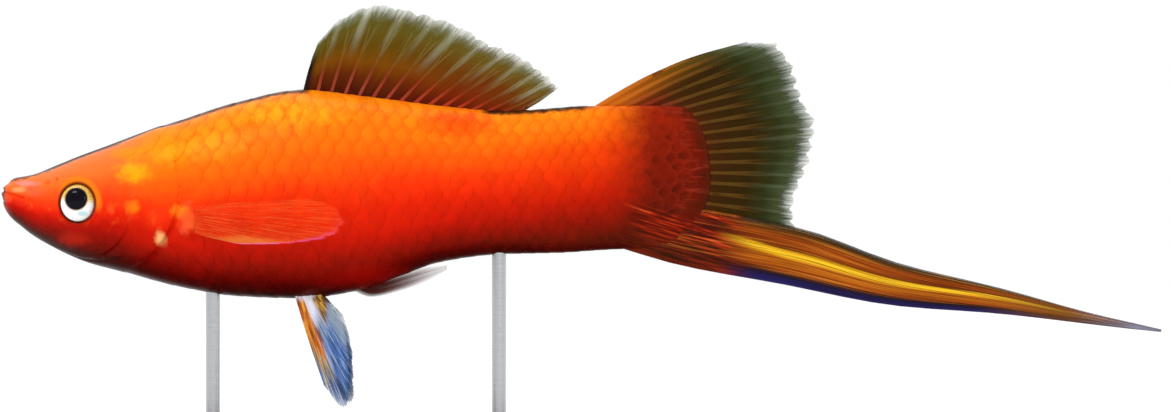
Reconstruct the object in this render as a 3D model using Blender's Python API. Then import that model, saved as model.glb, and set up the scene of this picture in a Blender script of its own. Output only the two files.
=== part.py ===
"""Adult male swordtail of the red aquarium form, a life-size still model on a plain display stand.

Run with: blender --background --python part.py

The frame is in metres, +Z up, with the head towards -X and the left flank towards -Y. Its origin is
at the middle of the bounding box's underside. The sizes below are in millimetres, in the fish's own
coordinates: u runs back from the tip of the snout, y to the fish's right, and h up from that tip.
"""

import functools
import math

import bmesh
import bpy
import numpy as np
from mathutils import Vector

MM = 0.001
GAP = 0.3
LENGTH = 116.3
SNOUT_HEIGHT = 27.3
LEFT, RIGHT = -1, 1

# Body outline and sections, one row for each station along the fish: u, height of the back, height
# of the belly, half width, height of the widest level, and the fullness of the section above and
# below that level, where 2 is an ellipse and more is squarer.
BODY_STATIONS = (
    (0.0, 1.75, -1.95, 1.75, -0.10, 2.3, 2.2),
    (1.1, 1.90, -2.40, 1.95, -0.10, 2.4, 2.2),
    (2.9, 2.20, -3.75, 2.40, -0.20, 2.5, 2.1),
    (4.1, 2.50, -4.50, 2.75, -0.30, 2.6, 2.0),
    (8.0, 4.00, -6.35, 3.55, -0.30, 2.6, 2.0),
    (12.0, 5.45, -7.50, 4.25, -0.40, 2.4, 2.0),
    (17.7, 7.45, -9.00, 4.75, -0.20, 2.2, 2.0),
    (23.7, 9.35, -9.95, 4.95, 0.20, 2.1, 2.0),
    (29.7, 10.50, -10.15, 4.90, 0.50, 2.0, 2.0),
    (35.7, 9.90, -9.35, 4.30, 0.60, 2.0, 2.0),
    (39.7, 9.40, -7.95, 3.75, 0.80, 2.0, 2.0),
    (43.7, 8.90, -6.55, 3.20, 1.00, 2.0, 2.1),
    (49.7, 8.40, -5.75, 2.50, 1.30, 2.1, 2.1),
    (55.7, 8.75, -5.60, 2.00, 1.60, 2.2, 2.2),
    (60.5, 9.15, -5.30, 1.60, 1.90, 2.3, 2.3),
    (66.5, 9.15, -5.30, 0.85, 1.90, 2.3, 2.3),
)
SNOUT_LEVEL = BODY_STATIONS[0][4]
BODY_END, TAIL_LEVEL = BODY_STATIONS[-1][0], BODY_STATIONS[-1][4]
SNOUT_ROUNDING = 1.5
TAIL_ROUNDING = 5.2
TAIL_EDGE_ROUNDING = 0.8

# The head ends at the rear edge of the gill covers, an arc seen from the side. The cover stands
# proud of the trunk behind it.
GILL_CENTRE = (9.7, 0.7)
GILL_RADIUS = 8.5
GILL_HALF_TURN = math.radians(100)
GILL_LIFT = 0.30
GILL_RAMP = 4.5
TRUNK_START = 9.0
TRUNK_END = 46.5

# The mouth opens upwards: its line runs from the tip of the snout down to the corner, and the lower
# jaw reaches a little further forward than the upper lip.
MOUTH_FRONT = (0.3, 0.55)
MOUTH_CORNER = (2.6, -0.15)
JAW_HINGE = (4.6, -5.4)
JAW_MARGIN = 2.0
LIP_LIFT = 0.20
LIP_WIDTH = 0.45

NOSTRIL = (4.9, 1.45)
NOSTRIL_RADIUS = 0.36
NOSTRIL_RISE = 0.1

# The eye's middle as (u, h), its radii along u, y and h, and its middle's distance from the
# fish's mid-plane.
EYE = (8.0, -0.6)
EYE_RADII = (1.78, 1.0, 1.92)
EYE_OUT = 2.95

# Display stand: two thin rods rise from a flat base to the belly.
ROD_RADIUS = 0.7
ROD_PLACES = (21.0, 49.6)
ROD_SOCKET = 1.5
BASE_LENGTH = 68.0
BASE_WIDTH = 26.0
BASE_HEIGHT = 4.0
BASE_CORNER = 7.0
BASE_CORNER_STEPS = 9
BASE_BEVEL = 0.8
BASE_MIDDLE = -23.0
BASE_SOCKET_FLOOR = 1.2

# Fins. Root and tip outlines run from the first ray to the last, as (u, h). A ripple is its height
# at the tips, and the waves across the fin and where they start, both in turns.
FIN_SINK = 0.8
WEB_THICKNESS = 0.5
RAY_THICKNESS = 0.86
EDGE_THICKNESS = 0.3
RIDGE_FOOT = 0.27
TRIMMER_START = 15.0

DORSAL_RAYS = 14
DORSAL_ROOT = (30.0, 49.2)
DORSAL_TIP = (
    (31.5, 15.6),
    (33.9, 18.1),
    (37.3, 19.4),
    (42.9, 18.4),
    (48.5, 15.8),
    (53.4, 13.3),
    (55.8, 11.1),
)
DORSAL_BOW = 0.35
DORSAL_RIPPLE = (0.30, 1.1, 0.1)

CAUDAL_RAYS = 15
CAUDAL_ROOT = ((58.4, 8.3), (62.8, 7.0), (65.0, 4.6), (65.6, 1.9), (65.4, -0.25))
CAUDAL_BOW = 0.95
CAUDAL_RIPPLE = (0.22, 0.95, 0.16)
CAUDAL_TIP = (
    (74.6, 15.6),
    (77.2, 15.5),
    (79.5, 13.2),
    (80.2, 10.6),
    (81.5, 7.0),
    (80.6, 2.8),
    (79.3, -0.6),
    (79.5, -2.7),
)

SWORD_RAYS = 6
SWORD_RAY_THICKNESS = 1.0
SWORD_UPPER = (
    (65.2, -0.7),
    (69.7, -1.4),
    (79.7, -3.3),
    (89.7, -6.8),
    (99.7, -9.2),
    (109.7, -11.9),
    (116.3, -13.35),
)
SWORD_LOWER = (
    (61.0, -4.6),
    (67.7, -6.6),
    (77.7, -8.5),
    (89.7, -10.8),
    (99.7, -11.6),
    (109.7, -12.8),
    (116.3, -13.6),
)
TAIL_BEND_START = 60.0
TAIL_BEND = 0.00085

PECTORAL_RAYS = 12
PECTORAL_ROOT = ((19.2, -0.9), (19.6, -3.5))
PECTORAL_TIP = (
    (31.0, -0.3),
    (33.6, -1.1),
    (34.4, -2.4),
    (33.0, -3.7),
    (29.0, -4.5),
    (25.0, -4.6),
    (22.2, -4.2),
)
PECTORAL_OUT = 4.3
PECTORAL_KNUCKLE = 0.9
PECTORAL_KNUCKLE_REACH = 0.015
PECTORAL_FLARE = math.radians(17)
PECTORAL_CUP = 0.35

PELVIC_RAYS = 6
PELVIC_ROOT = ((29.3, -9.4), (31.3, -9.3))
PELVIC_TIP = (
    (32.5, -19.0),
    (33.9, -20.8),
    (34.6, -21.3),
    (35.0, -20.0),
    (35.0, -17.0),
    (34.6, -14.2),
    (34.0, -12.0),
)
PELVIC_OUT = 0.9
PELVIC_SPLAY = math.radians(14)
PELVIC_BOW = 0.1
PELVIC_TWIST = 0.3

GONOPODIUM_RAYS = 3
GONOPODIUM_WEB_THICKNESS = 0.6
GONOPODIUM_LOWER = ((34.4, -8.9), (36.8, -9.95), (39.7, -9.45), (42.0, -8.65), (44.4, -7.5))
GONOPODIUM_UPPER = ((36.4, -8.5), (38.0, -8.95), (40.0, -8.5), (42.2, -7.9), (44.4, -7.2))

COLOURS = {
    "skin": (0.80, 0.10, 0.01, 0.30, 0.0),
    "head_skin": (0.78, 0.08, 0.01, 0.30, 0.0),
    "dorsal_web": (0.12, 0.07, 0.02, 0.45, 0.0),
    "tail_web": (0.07, 0.07, 0.02, 0.45, 0.0),
    "sword_gold": (0.75, 0.36, 0.02, 0.40, 0.0),
    "clear_red_web": (0.80, 0.12, 0.02, 0.35, 0.0),
    "blue_web": (0.10, 0.28, 0.60, 0.35, 0.0),
    "eye": (0.02, 0.015, 0.02, 0.08, 0.0),
    "steel": (0.55, 0.56, 0.58, 0.30, 1.0),
    "wood": (0.10, 0.05, 0.025, 0.45, 0.0),
}


def clear_scene():
    for obj in list(bpy.data.objects):
        bpy.data.objects.remove(obj)


def smooth_through(knots, values, at):
    """Monotone cubic curve through the knots, so that no outline overshoots its sizes."""
    knots = np.asarray(knots, float)
    values = np.asarray(values, float)
    steps = np.diff(knots)
    slopes = np.diff(values) / steps
    tangents = np.zeros_like(values)
    for i in range(1, len(values) - 1):
        if slopes[i - 1] * slopes[i] > 0:
            before = 2 * steps[i] + steps[i - 1]
            after = steps[i] + 2 * steps[i - 1]
            tangents[i] = (before + after) / (before / slopes[i - 1] + after / slopes[i])
    tangents[0] = slopes[0]
    tangents[-1] = slopes[-1]
    at = float(np.clip(at, knots[0], knots[-1]))
    i = int(min(np.searchsorted(knots, at, side="right") - 1, len(steps) - 1))
    t = (at - knots[i]) / steps[i]
    return (
        values[i] * (1 + 2 * t) * (1 - t) ** 2
        + tangents[i] * steps[i] * t * (1 - t) ** 2
        + values[i + 1] * t * t * (3 - 2 * t)
        + tangents[i + 1] * steps[i] * t * t * (t - 1)
    )


def along(points, share):
    """Point (u, h) at a share of the way along a smooth curve through the points."""
    points = np.asarray(points, float)
    chord = np.concatenate([[0], np.cumsum(np.linalg.norm(np.diff(points, axis=0), axis=1))])
    at = share * chord[-1]
    return np.array([smooth_through(chord, points[:, k], at) for k in (0, 1)])


def ease(value):
    value = min(max(value, 0.0), 1.0)
    return value * value * (3 - 2 * value)


def rounding(distance, reach):
    """Quarter ellipse that closes an end: 0 at the end itself and 1 past its reach."""
    return math.sqrt(1 - (1 - min(max(distance / reach, 0.0), 1.0)) ** 2)


@functools.lru_cache(maxsize=None)
def body_section(u, grow=0.0):
    """Back, belly, half width, widest level and fullnesses at u, with the ends rounded off."""
    knots = [row[0] for row in BODY_STATIONS]
    back, belly, half, level, above, below = (
        smooth_through(knots, [row[k] for row in BODY_STATIONS], u) for k in range(1, 7)
    )
    height = rounding(u, SNOUT_ROUNDING) * rounding(BODY_END - u, TAIL_ROUNDING)
    half *= rounding(u, SNOUT_ROUNDING) * rounding(BODY_END - u, TAIL_EDGE_ROUNDING)
    back = level + (back - level) * height
    belly = level + (belly - level) * height
    return back + grow, belly - grow, half + grow, level, above, below


def distance_to_mouth(u, h):
    start, end = np.array(MOUTH_FRONT), np.array(MOUTH_CORNER)
    run = end - start
    share = np.clip((np.array([u, h]) - start) @ run / (run @ run), 0, 1)
    return float(np.linalg.norm(np.array([u, h]) - start - share * run))


def head_relief(u, h):
    """How far the surface stands proud sideways: the gill cover's swell and the lips."""
    out = math.hypot(u - GILL_CENTRE[0], h - GILL_CENTRE[1])
    cover = ease(1 - (GILL_RADIUS - out) / GILL_RAMP) if u > GILL_CENTRE[0] else 0.0
    lips = math.exp(-((distance_to_mouth(u, h) / LIP_WIDTH) ** 2))
    return GILL_LIFT * cover + LIP_LIFT * lips


def body_point(u, turn, grow=0.0, relief=False):
    """Point on the skin at u, where turn runs from the back (0) over the left side (pi / 2)."""
    back, belly, half, level, above, below = body_section(u, grow)
    side, rise = math.sin(turn), math.cos(turn)
    fullness = above if rise >= 0 else below
    out = math.copysign(abs(side) ** (2 / fullness), side)
    reach = (back - level) if rise >= 0 else (level - belly)
    h = level + math.copysign(reach * abs(rise) ** (2 / fullness), rise)
    if relief:
        half += head_relief(u, h)
    return Vector((u, -half * out, h)) * MM


def new_object(name, vertices, faces):
    mesh = bpy.data.meshes.new(name)
    mesh.from_pydata(vertices, [], faces)
    work = bmesh.new()
    work.from_mesh(mesh)
    bmesh.ops.recalc_face_normals(work, faces=work.faces)
    work.to_mesh(mesh)
    work.free()
    obj = bpy.data.objects.new(name, mesh)
    bpy.context.scene.collection.objects.link(obj)
    return obj


def loft(name, rings, front=None, rear=None):
    """Closed body through rings of points, each end capped flat or drawn to a pole."""
    count = len(rings[0])
    vertices = [point for ring in rings for point in ring]
    faces = []
    for i in range(len(rings) - 1):
        for j in range(count):
            k = (j + 1) % count
            faces.append((i * count + j, i * count + k, (i + 1) * count + k, (i + 1) * count + j))
    for pole, first in ((front, 0), (rear, (len(rings) - 1) * count)):
        if pole is None:
            faces.append(tuple(first + j for j in range(count)))
            continue
        vertices.append(pole)
        for j in range(count):
            faces.append((len(vertices) - 1, first + j, first + (j + 1) % count))
    return new_object(name, vertices, faces)


def body_loft(name, stations, around, grow=0.0, relief=False, front=False, rear=False):
    turns = [2 * math.pi * (j + 0.5) / around for j in range(around)]
    rings = [[body_point(u, turn, grow, relief) for turn in turns] for u in stations]
    front_pole = Vector((-grow, 0, SNOUT_LEVEL)) * MM if front else None
    rear_pole = Vector((BODY_END + grow, 0, TAIL_LEVEL)) * MM if rear else None
    return loft(name, rings, front_pole, rear_pole)


def snout_stations(count):
    """Stations that crowd towards the rounded tip of the snout."""
    return [SNOUT_ROUNDING * (1 - math.cos(0.5 * math.pi * (i + 1) / count)) for i in range(count)]


def tail_stations(count):
    """Stations that crowd towards the rounded end of the tail stalk."""
    return [
        BODY_END - TAIL_ROUNDING * (1 - math.sin(0.5 * math.pi * i / count)) for i in range(count)
    ]


def side_prism(name, outline):
    """Solid with this outline, as (u, h), seen from the side, through the whole width."""
    reach = BASE_WIDTH / 2
    rings = [[Vector((u, y, h)) * MM for u, h in outline] for y in (-reach, reach)]
    return loft(name, rings)


def ellipsoid(name, centre, radii, around=20, rows=10):
    """Ellipsoid whose poles point sideways, along y."""
    rings = []
    for i in range(1, rows):
        polar = math.pi * i / rows
        ring = []
        for j in range(around):
            turn = 2 * math.pi * j / around
            ring.append(
                Vector(
                    (
                        centre[0] + radii[0] * math.sin(polar) * math.cos(turn),
                        centre[1] - radii[1] * math.cos(polar),
                        centre[2] + radii[2] * math.sin(polar) * math.sin(turn),
                    )
                )
                * MM
            )
        rings.append(ring)
    poles = [Vector((centre[0], centre[1] + s * radii[1], centre[2])) * MM for s in (-1, 1)]
    return loft(name, rings, *poles)


def upright_cylinder(name, middle, radius, low, high, around=16):
    rings = []
    for height in (low, high):
        ring = []
        for j in range(around):
            turn = 2 * math.pi * j / around
            ring.append(
                Vector((middle + radius * math.cos(turn), radius * math.sin(turn), height)) * MM
            )
        rings.append(ring)
    return loft(name, rings)


def carve(obj, cutters, operation="DIFFERENCE"):
    """Applies one Boolean for each cutter, removes the cutters and keeps the largest body."""
    for cutter in cutters:
        modifier = obj.modifiers.new(cutter.name, "BOOLEAN")
        modifier.operation = operation
        modifier.solver = "EXACT"
        modifier.object = cutter
    bpy.context.view_layer.update()
    graph = bpy.context.evaluated_depsgraph_get()
    mesh = bpy.data.meshes.new_from_object(obj.evaluated_get(graph))
    obj.modifiers.clear()
    obj.data = mesh
    for cutter in cutters:
        bpy.data.objects.remove(cutter)
    keep_largest(obj)
    return obj


def islands(work):
    """Connected groups of faces, the largest surface first."""
    waiting = set(work.faces)
    groups = []
    while waiting:
        stack = [waiting.pop()]
        group = list(stack)
        while stack:
            for edge in stack.pop().edges:
                for face in edge.link_faces:
                    if face in waiting:
                        waiting.remove(face)
                        stack.append(face)
                        group.append(face)
        groups.append(group)
    return sorted(groups, key=lambda group: -sum(face.calc_area() for face in group))


def keep_largest(obj):
    work = bmesh.new()
    work.from_mesh(obj.data)
    for group in islands(work)[1:]:
        bmesh.ops.delete(work, geom=group, context="FACES")
    work.to_mesh(obj.data)
    work.free()


def finish(obj, slot):
    """Gives a piece its material and shades it smooth across its gentle edges."""
    red, green, blue, roughness, metallic = COLOURS[slot]
    material = bpy.data.materials.get(slot)
    if material is None:
        material = bpy.data.materials.new(slot)
        material.use_nodes = True
        shader = material.node_tree.nodes["Principled BSDF"]
        shader.inputs["Base Color"].default_value = (red, green, blue, 1.0)
        shader.inputs["Roughness"].default_value = roughness
        shader.inputs["Metallic"].default_value = metallic
        material.diffuse_color = (red, green, blue, 1.0)
    obj.data.materials.clear()
    obj.data.materials.append(material)
    obj.data.shade_smooth()
    obj.data.set_sharp_from_angle(angle=math.radians(40))
    return obj


def gill_arc(grow=0.0, count=18):
    """Side outline of the head's part of the body: the gill arc, then a box round the snout."""
    radius = GILL_RADIUS + grow
    top, bottom = GILL_CENTRE[1] + 2 * radius, GILL_CENTRE[1] - 2 * radius
    arc = []
    for i in range(count + 1):
        turn = GILL_HALF_TURN * (1 - 2 * i / count)
        arc.append(
            (GILL_CENTRE[0] + radius * math.cos(turn), GILL_CENTRE[1] + radius * math.sin(turn))
        )
    above = [(-GILL_RADIUS, top), (arc[0][0], top)]
    below = [(arc[-1][0], bottom), (-GILL_RADIUS, bottom)]
    return above + arc + below


def jaw_outline(grow=0.0):
    """Side outline of the lower jaw: under the mouth line and ahead of its hinge."""
    front, corner, hinge = (np.array(p) for p in (MOUTH_FRONT, MOUTH_CORNER, JAW_HINGE))
    lip_line = (corner - front) / np.linalg.norm(corner - front)
    hinge_line = (hinge - corner) / np.linalg.norm(hinge - corner)
    up = np.array([-lip_line[1], lip_line[0]])
    back = np.array([-hinge_line[1], hinge_line[0]])
    return [
        tuple(front - JAW_MARGIN * lip_line + up * grow),
        tuple(corner + (up + back) * grow / (1 + up @ back)),
        tuple(hinge + JAW_MARGIN * hinge_line + back * grow),
        (-JAW_MARGIN, hinge[1] - JAW_MARGIN),
    ]


def eye_ellipsoid(name, side, grow=0.0):
    centre = (EYE[0], side * EYE_OUT, EYE[1])
    return ellipsoid(name, centre, [radius + grow for radius in EYE_RADII], around=18, rows=9)


def side_level(u, h, grow=0.0):
    """Half width of the skin at u, at the height h."""
    back, belly, half, level, above, below = body_section(u, grow)
    reach, fullness = (back - level, above) if h >= level else (level - belly, below)
    share = min(abs(h - level) / reach, 1.0)
    return half * (1 - share**fullness) ** (1 / fullness)


def nostril_pit(side):
    u, h = NOSTRIL
    return ellipsoid(
        "nostril",
        (u, side * (side_level(u, h) + NOSTRIL_RISE), h),
        (NOSTRIL_RADIUS, NOSTRIL_RADIUS, NOSTRIL_RADIUS),
        around=10,
        rows=6,
    )


def rod_socket(u):
    """Cutter for the blind hole in the belly that takes the top of a rod."""
    belly = body_section(u)[1]
    low, high = belly - ROD_SOCKET, belly + ROD_SOCKET
    return upright_cylinder("socket", u, ROD_RADIUS + GAP, low, high + GAP)


def even_stations(start, end, count):
    return [start + (end - start) * i / (count - 1) for i in range(count)]


def head_stations(end, count):
    return snout_stations(5) + even_stations(SNOUT_ROUNDING, end, count)[1:]


def shoulder_stations(start, count):
    """Stations from start to where the tail stalk begins to round off, and on to its end."""
    shoulder = BODY_END - TAIL_ROUNDING
    return even_stations(start, shoulder, count)[:-1] + tail_stations(9)


def make_head():
    end = GILL_CENTRE[0] + GILL_RADIUS + GAP
    head = body_loft("head", head_stations(end, 31), 36, relief=True, front=True)
    carve(head, [side_prism("gill_cut", gill_arc())], "INTERSECT")
    cutters = [side_prism("jaw_cut", jaw_outline(GAP))]
    for side in (LEFT, RIGHT):
        cutters.append(eye_ellipsoid("socket", side, GAP))
        cutters.append(nostril_pit(side))
    return finish(carve(head, cutters), "head_skin")


def make_lower_jaw():
    end = JAW_HINGE[0] + JAW_MARGIN
    jaw = body_loft("lower_jaw", head_stations(end, 10), 36, relief=True, front=True)
    return finish(carve(jaw, [side_prism("jaw_shape", jaw_outline())], "INTERSECT"), "head_skin")


def make_eyes():
    for name, side in (("eye_left", LEFT), ("eye_right", RIGHT)):
        finish(eye_ellipsoid(name, side), "eye")


def make_trunk():
    trunk = body_loft("trunk", even_stations(TRUNK_START, TRUNK_END, 29), 36)
    carve(trunk, [side_prism("gill_cut", gill_arc(GAP)), rod_socket(ROD_PLACES[0])])
    return finish(trunk, "skin")


def make_tail_stalk():
    stalk = body_loft("tail_stalk", shoulder_stations(TRUNK_END + GAP, 10), 32, rear=True)
    return finish(carve(stalk, [rod_socket(ROD_PLACES[1])]), "skin")


def trunk_trimmer():
    """The body grown by the gap, which trims the fins' roots to lie face to face with it."""
    return body_loft("trimmer", shoulder_stations(TRIMMER_START, 37), 36, grow=GAP, rear=True)


def ray_columns(rays):
    """Places across a fin, from 0 to 1, and whether each is the crest of a ray."""
    columns = []
    for k in range(rays):
        for offset, crest in ((-RIDGE_FOOT, False), (0.0, True), (RIDGE_FOOT, False)):
            place = (k + offset) / (rays - 1)
            if 0 <= place <= 1:
                columns.append((place, crest))
    return columns


def fin_normal(place, t, v, step=0.02):
    """Unit normal of a fin's middle surface."""
    low_t, high_t = max(t - step, 0.0), min(t + step, 1.0)
    low_v, high_v = max(v - step, 0.0), min(v + step, 1.0)
    run = Vector(place(high_t, v)) - Vector(place(low_t, v))
    across = Vector(place(t, high_v)) - Vector(place(t, low_v))
    return run.cross(across).normalized()


def fin_solid(name, place, rays, rows, scallop=0.0, web=WEB_THICKNESS, ray=RAY_THICKNESS, crowd=1.0):
    """Closed fin with its rays raised on both faces.

    place(t, v) gives the fin's middle surface in fish millimetres, with t from root to tip and v
    from the first ray to the last. Both faces are split into triangles alike, the web ends a
    scallop short of the rays' tips, and crowd above 1 sets the rows closer at the root.
    """
    columns = ray_columns(rays)
    grid = []
    for i in range(rows + 1):
        share = (i / rows) ** crowd
        line = []
        for v, crest in columns:
            t = share * (1.0 if crest else 1.0 - scallop)
            full = ray if crest else web
            half = 0.5 * (full + (EDGE_THICKNESS - full) * share**3)
            line.append((Vector(place(t, v)), fin_normal(place, t, v) * half))
        grid.append(line)
    width = len(columns)
    vertices = [(m + n) * MM for line in grid for m, n in line]
    vertices += [(m - n) * MM for line in grid for m, n in line]
    below = (rows + 1) * width
    faces = []
    for i in range(rows):
        for j in range(width - 1):
            a, b = i * width + j, i * width + j + 1
            c, d = (i + 1) * width + j + 1, (i + 1) * width + j
            faces += [(a, b, c), (a, c, d)]
            faces += [(below + a, below + c, below + b), (below + a, below + d, below + c)]
    rim = [j for j in range(width)]
    rim += [i * width + width - 1 for i in range(1, rows + 1)]
    rim += [rows * width + j for j in range(width - 2, -1, -1)]
    rim += [i * width for i in range(rows - 1, 0, -1)]
    for a, b in zip(rim, rim[1:] + rim[:1]):
        faces += [(a, below + b, b), (a, below + a, below + b)]
    return new_object(name, vertices, faces)


def sweep(u):
    """Sideways drift of the tail fin and sword, a gentle swimming curve."""
    return TAIL_BEND * max(u - TAIL_BEND_START, 0.0) ** 2


def ripple(t, v, shape):
    height, waves, start = shape
    return height * t * math.sin(2 * math.pi * (waves * v + start))


def dorsal_place(t, v):
    start, end = DORSAL_ROOT
    u = start + (end - start) * v
    root = np.array([u, body_section(u)[0] - FIN_SINK])
    tip = along(DORSAL_TIP, v)
    u, h = root + (tip - root) * t
    h += DORSAL_BOW * math.sin(math.pi * t) * (1 - 2 * v)
    return u, ripple(t, v, DORSAL_RIPPLE), h


def caudal_place(t, v):
    root, tip = along(CAUDAL_ROOT, v), along(CAUDAL_TIP, v)
    u, h = root + (tip - root) * t
    h += CAUDAL_BOW * math.sin(math.pi * t) * (1 - v) ** 4
    return u, sweep(u) + ripple(t, v, CAUDAL_RIPPLE), h


def sword_place(t, v):
    u, h = along(SWORD_UPPER, t) * (1 - v) + along(SWORD_LOWER, t) * v
    return u, sweep(u), h


def pectoral_place(side):
    def place(t, v):
        root, tip = along(PECTORAL_ROOT, v), along(PECTORAL_TIP, v)
        u, h = root + (tip - root) * t
        out = PECTORAL_OUT + PECTORAL_KNUCKLE * (1 - math.exp(-t / PECTORAL_KNUCKLE_REACH))
        out += (u - root[0]) * math.tan(PECTORAL_FLARE) + PECTORAL_CUP * math.sin(math.pi * v) * t
        return u, side * out, h

    return place


def pelvic_place(side):
    def place(t, v):
        root, tip = along(PELVIC_ROOT, v), along(PELVIC_TIP, v)
        u, h = root + (tip - root) * t
        u -= PELVIC_BOW * math.sin(math.pi * t) * (1 - v)
        out = PELVIC_OUT + (PELVIC_ROOT[0][1] - h) * math.tan(PELVIC_SPLAY) + PELVIC_TWIST * v * t
        return u, side * out, h

    return place


def gonopodium_place(t, v):
    u, h = along(GONOPODIUM_LOWER, t) * (1 - v) + along(GONOPODIUM_UPPER, t) * v
    return u, 0.0, h


def make_fins():
    dorsal = fin_solid("dorsal_fin", dorsal_place, DORSAL_RAYS, 8, scallop=0.05)
    caudal = fin_solid("tail_fin", caudal_place, CAUDAL_RAYS, 9, scallop=0.04)
    sword = fin_solid("tail_sword", sword_place, SWORD_RAYS, 24, ray=SWORD_RAY_THICKNESS)
    finish(carve(dorsal, [trunk_trimmer()]), "dorsal_web")
    finish(carve(caudal, [trunk_trimmer()]), "tail_web")
    finish(carve(sword, [trunk_trimmer()]), "sword_gold")
    for word, side in (("left", LEFT), ("right", RIGHT)):
        pectoral = fin_solid(
            "pectoral_fin_" + word, pectoral_place(side), PECTORAL_RAYS, 7, scallop=0.03, crowd=1.8
        )
        finish(carve(pectoral, [trunk_trimmer()]), "clear_red_web")
        pelvic = fin_solid("pelvic_fin_" + word, pelvic_place(side), PELVIC_RAYS, 8, scallop=0.04)
        finish(carve(pelvic, [trunk_trimmer()]), "blue_web")
    gonopodium = fin_solid(
        "gonopodium", gonopodium_place, GONOPODIUM_RAYS, 9, web=GONOPODIUM_WEB_THICKNESS
    )
    finish(carve(gonopodium, [trunk_trimmer()]), "clear_red_web")


def base_outline():
    """Rounded rectangle of the base, with its middle at the origin."""
    corners = []
    for sx, sy, first in ((1, 1, 0), (-1, 1, 90), (-1, -1, 180), (1, -1, 270)):
        for k in range(BASE_CORNER_STEPS + 1):
            turn = math.radians(first + 90 * k / BASE_CORNER_STEPS)
            x = sx * (BASE_LENGTH / 2 - BASE_CORNER) + BASE_CORNER * math.cos(turn)
            y = sy * (BASE_WIDTH / 2 - BASE_CORNER) + BASE_CORNER * math.sin(turn)
            corners.append(Vector((x, y, 0)) * MM)
    return corners


def make_base():
    """Flat base with a bevelled upper edge and a blind socket for each rod."""
    work = bmesh.new()
    floor = work.faces.new([work.verts.new(point) for point in base_outline()])
    raised = bmesh.ops.extrude_face_region(work, geom=[floor])["geom"]
    top = [item for item in raised if isinstance(item, bmesh.types.BMVert)]
    bmesh.ops.translate(work, verts=top, vec=Vector((0, 0, BASE_HEIGHT * MM)))
    rim = [edge for edge in work.edges if all(vert in top for vert in edge.verts)]
    bmesh.ops.bevel(work, geom=rim, offset=BASE_BEVEL * MM, segments=2, affect="EDGES", profile=0.5)
    bmesh.ops.recalc_face_normals(work, faces=work.faces)
    mesh = bpy.data.meshes.new("stand_base")
    work.to_mesh(mesh)
    work.free()
    base = bpy.data.objects.new("stand_base", mesh)
    bpy.context.scene.collection.objects.link(base)
    base.location = (BASE_MIDDLE * MM, 0, 0)
    radius, low, high = ROD_RADIUS + GAP, BASE_SOCKET_FLOOR, BASE_HEIGHT + ROD_SOCKET
    sockets = [
        upright_cylinder("socket", u - LENGTH / 2, radius, low, high) for u in ROD_PLACES
    ]
    return finish(carve(base, sockets), "wood")


def make_rods():
    for name, u in zip(("stand_rod_front", "stand_rod_rear"), ROD_PLACES):
        low = BASE_SOCKET_FLOOR + GAP
        high = SNOUT_HEIGHT + body_section(u)[1] + ROD_SOCKET
        finish(upright_cylinder(name, u - LENGTH / 2, ROD_RADIUS, low, high), "steel")


def place_fish():
    """Parents the fish's pieces to an empty at the tip of the snout."""
    fish = bpy.data.objects.new("fish", None)
    bpy.context.scene.collection.objects.link(fish)
    fish.location = (-LENGTH / 2 * MM, 0, SNOUT_HEIGHT * MM)
    for obj in bpy.context.scene.collection.objects:
        if obj.type == "MESH" and not obj.name.startswith("stand_"):
            obj.parent = fish


clear_scene()
make_head()
make_lower_jaw()
make_eyes()
make_trunk()
make_tail_stalk()
make_fins()
make_base()
make_rods()
place_fish()
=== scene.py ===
"""Looks of the life-size male swordtail model: skin, scales, fins, eyes, stand, light and camera.

Sizes are in millimetres, in the fish's own coordinates: u runs back from the tip of the snout, y to
the fish's right, and h up from that tip. They repeat the named sizes of the solids.
"""

import math

import bpy
import numpy as np
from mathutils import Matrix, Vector


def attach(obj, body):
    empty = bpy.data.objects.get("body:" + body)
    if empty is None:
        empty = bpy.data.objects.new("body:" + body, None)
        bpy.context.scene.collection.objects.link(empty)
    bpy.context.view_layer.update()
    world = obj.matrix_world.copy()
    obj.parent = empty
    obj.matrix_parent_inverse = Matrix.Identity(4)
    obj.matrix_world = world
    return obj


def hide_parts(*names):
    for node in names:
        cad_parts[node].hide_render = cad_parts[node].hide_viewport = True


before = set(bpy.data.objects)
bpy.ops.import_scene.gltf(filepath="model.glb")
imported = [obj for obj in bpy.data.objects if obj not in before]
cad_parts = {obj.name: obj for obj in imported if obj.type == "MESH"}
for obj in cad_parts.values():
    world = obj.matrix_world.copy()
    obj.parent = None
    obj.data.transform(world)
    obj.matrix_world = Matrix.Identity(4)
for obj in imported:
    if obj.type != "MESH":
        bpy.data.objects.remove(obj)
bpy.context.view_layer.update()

MM = 0.001
LENGTH = 116.3
SNOUT_HEIGHT = 27.3
ORIGIN = np.array([-LENGTH / 2, 0.0, SNOUT_HEIGHT])
LEFT, RIGHT = -1, 1
SIDES = (("left", LEFT), ("right", RIGHT))
SEED = 20

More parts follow.
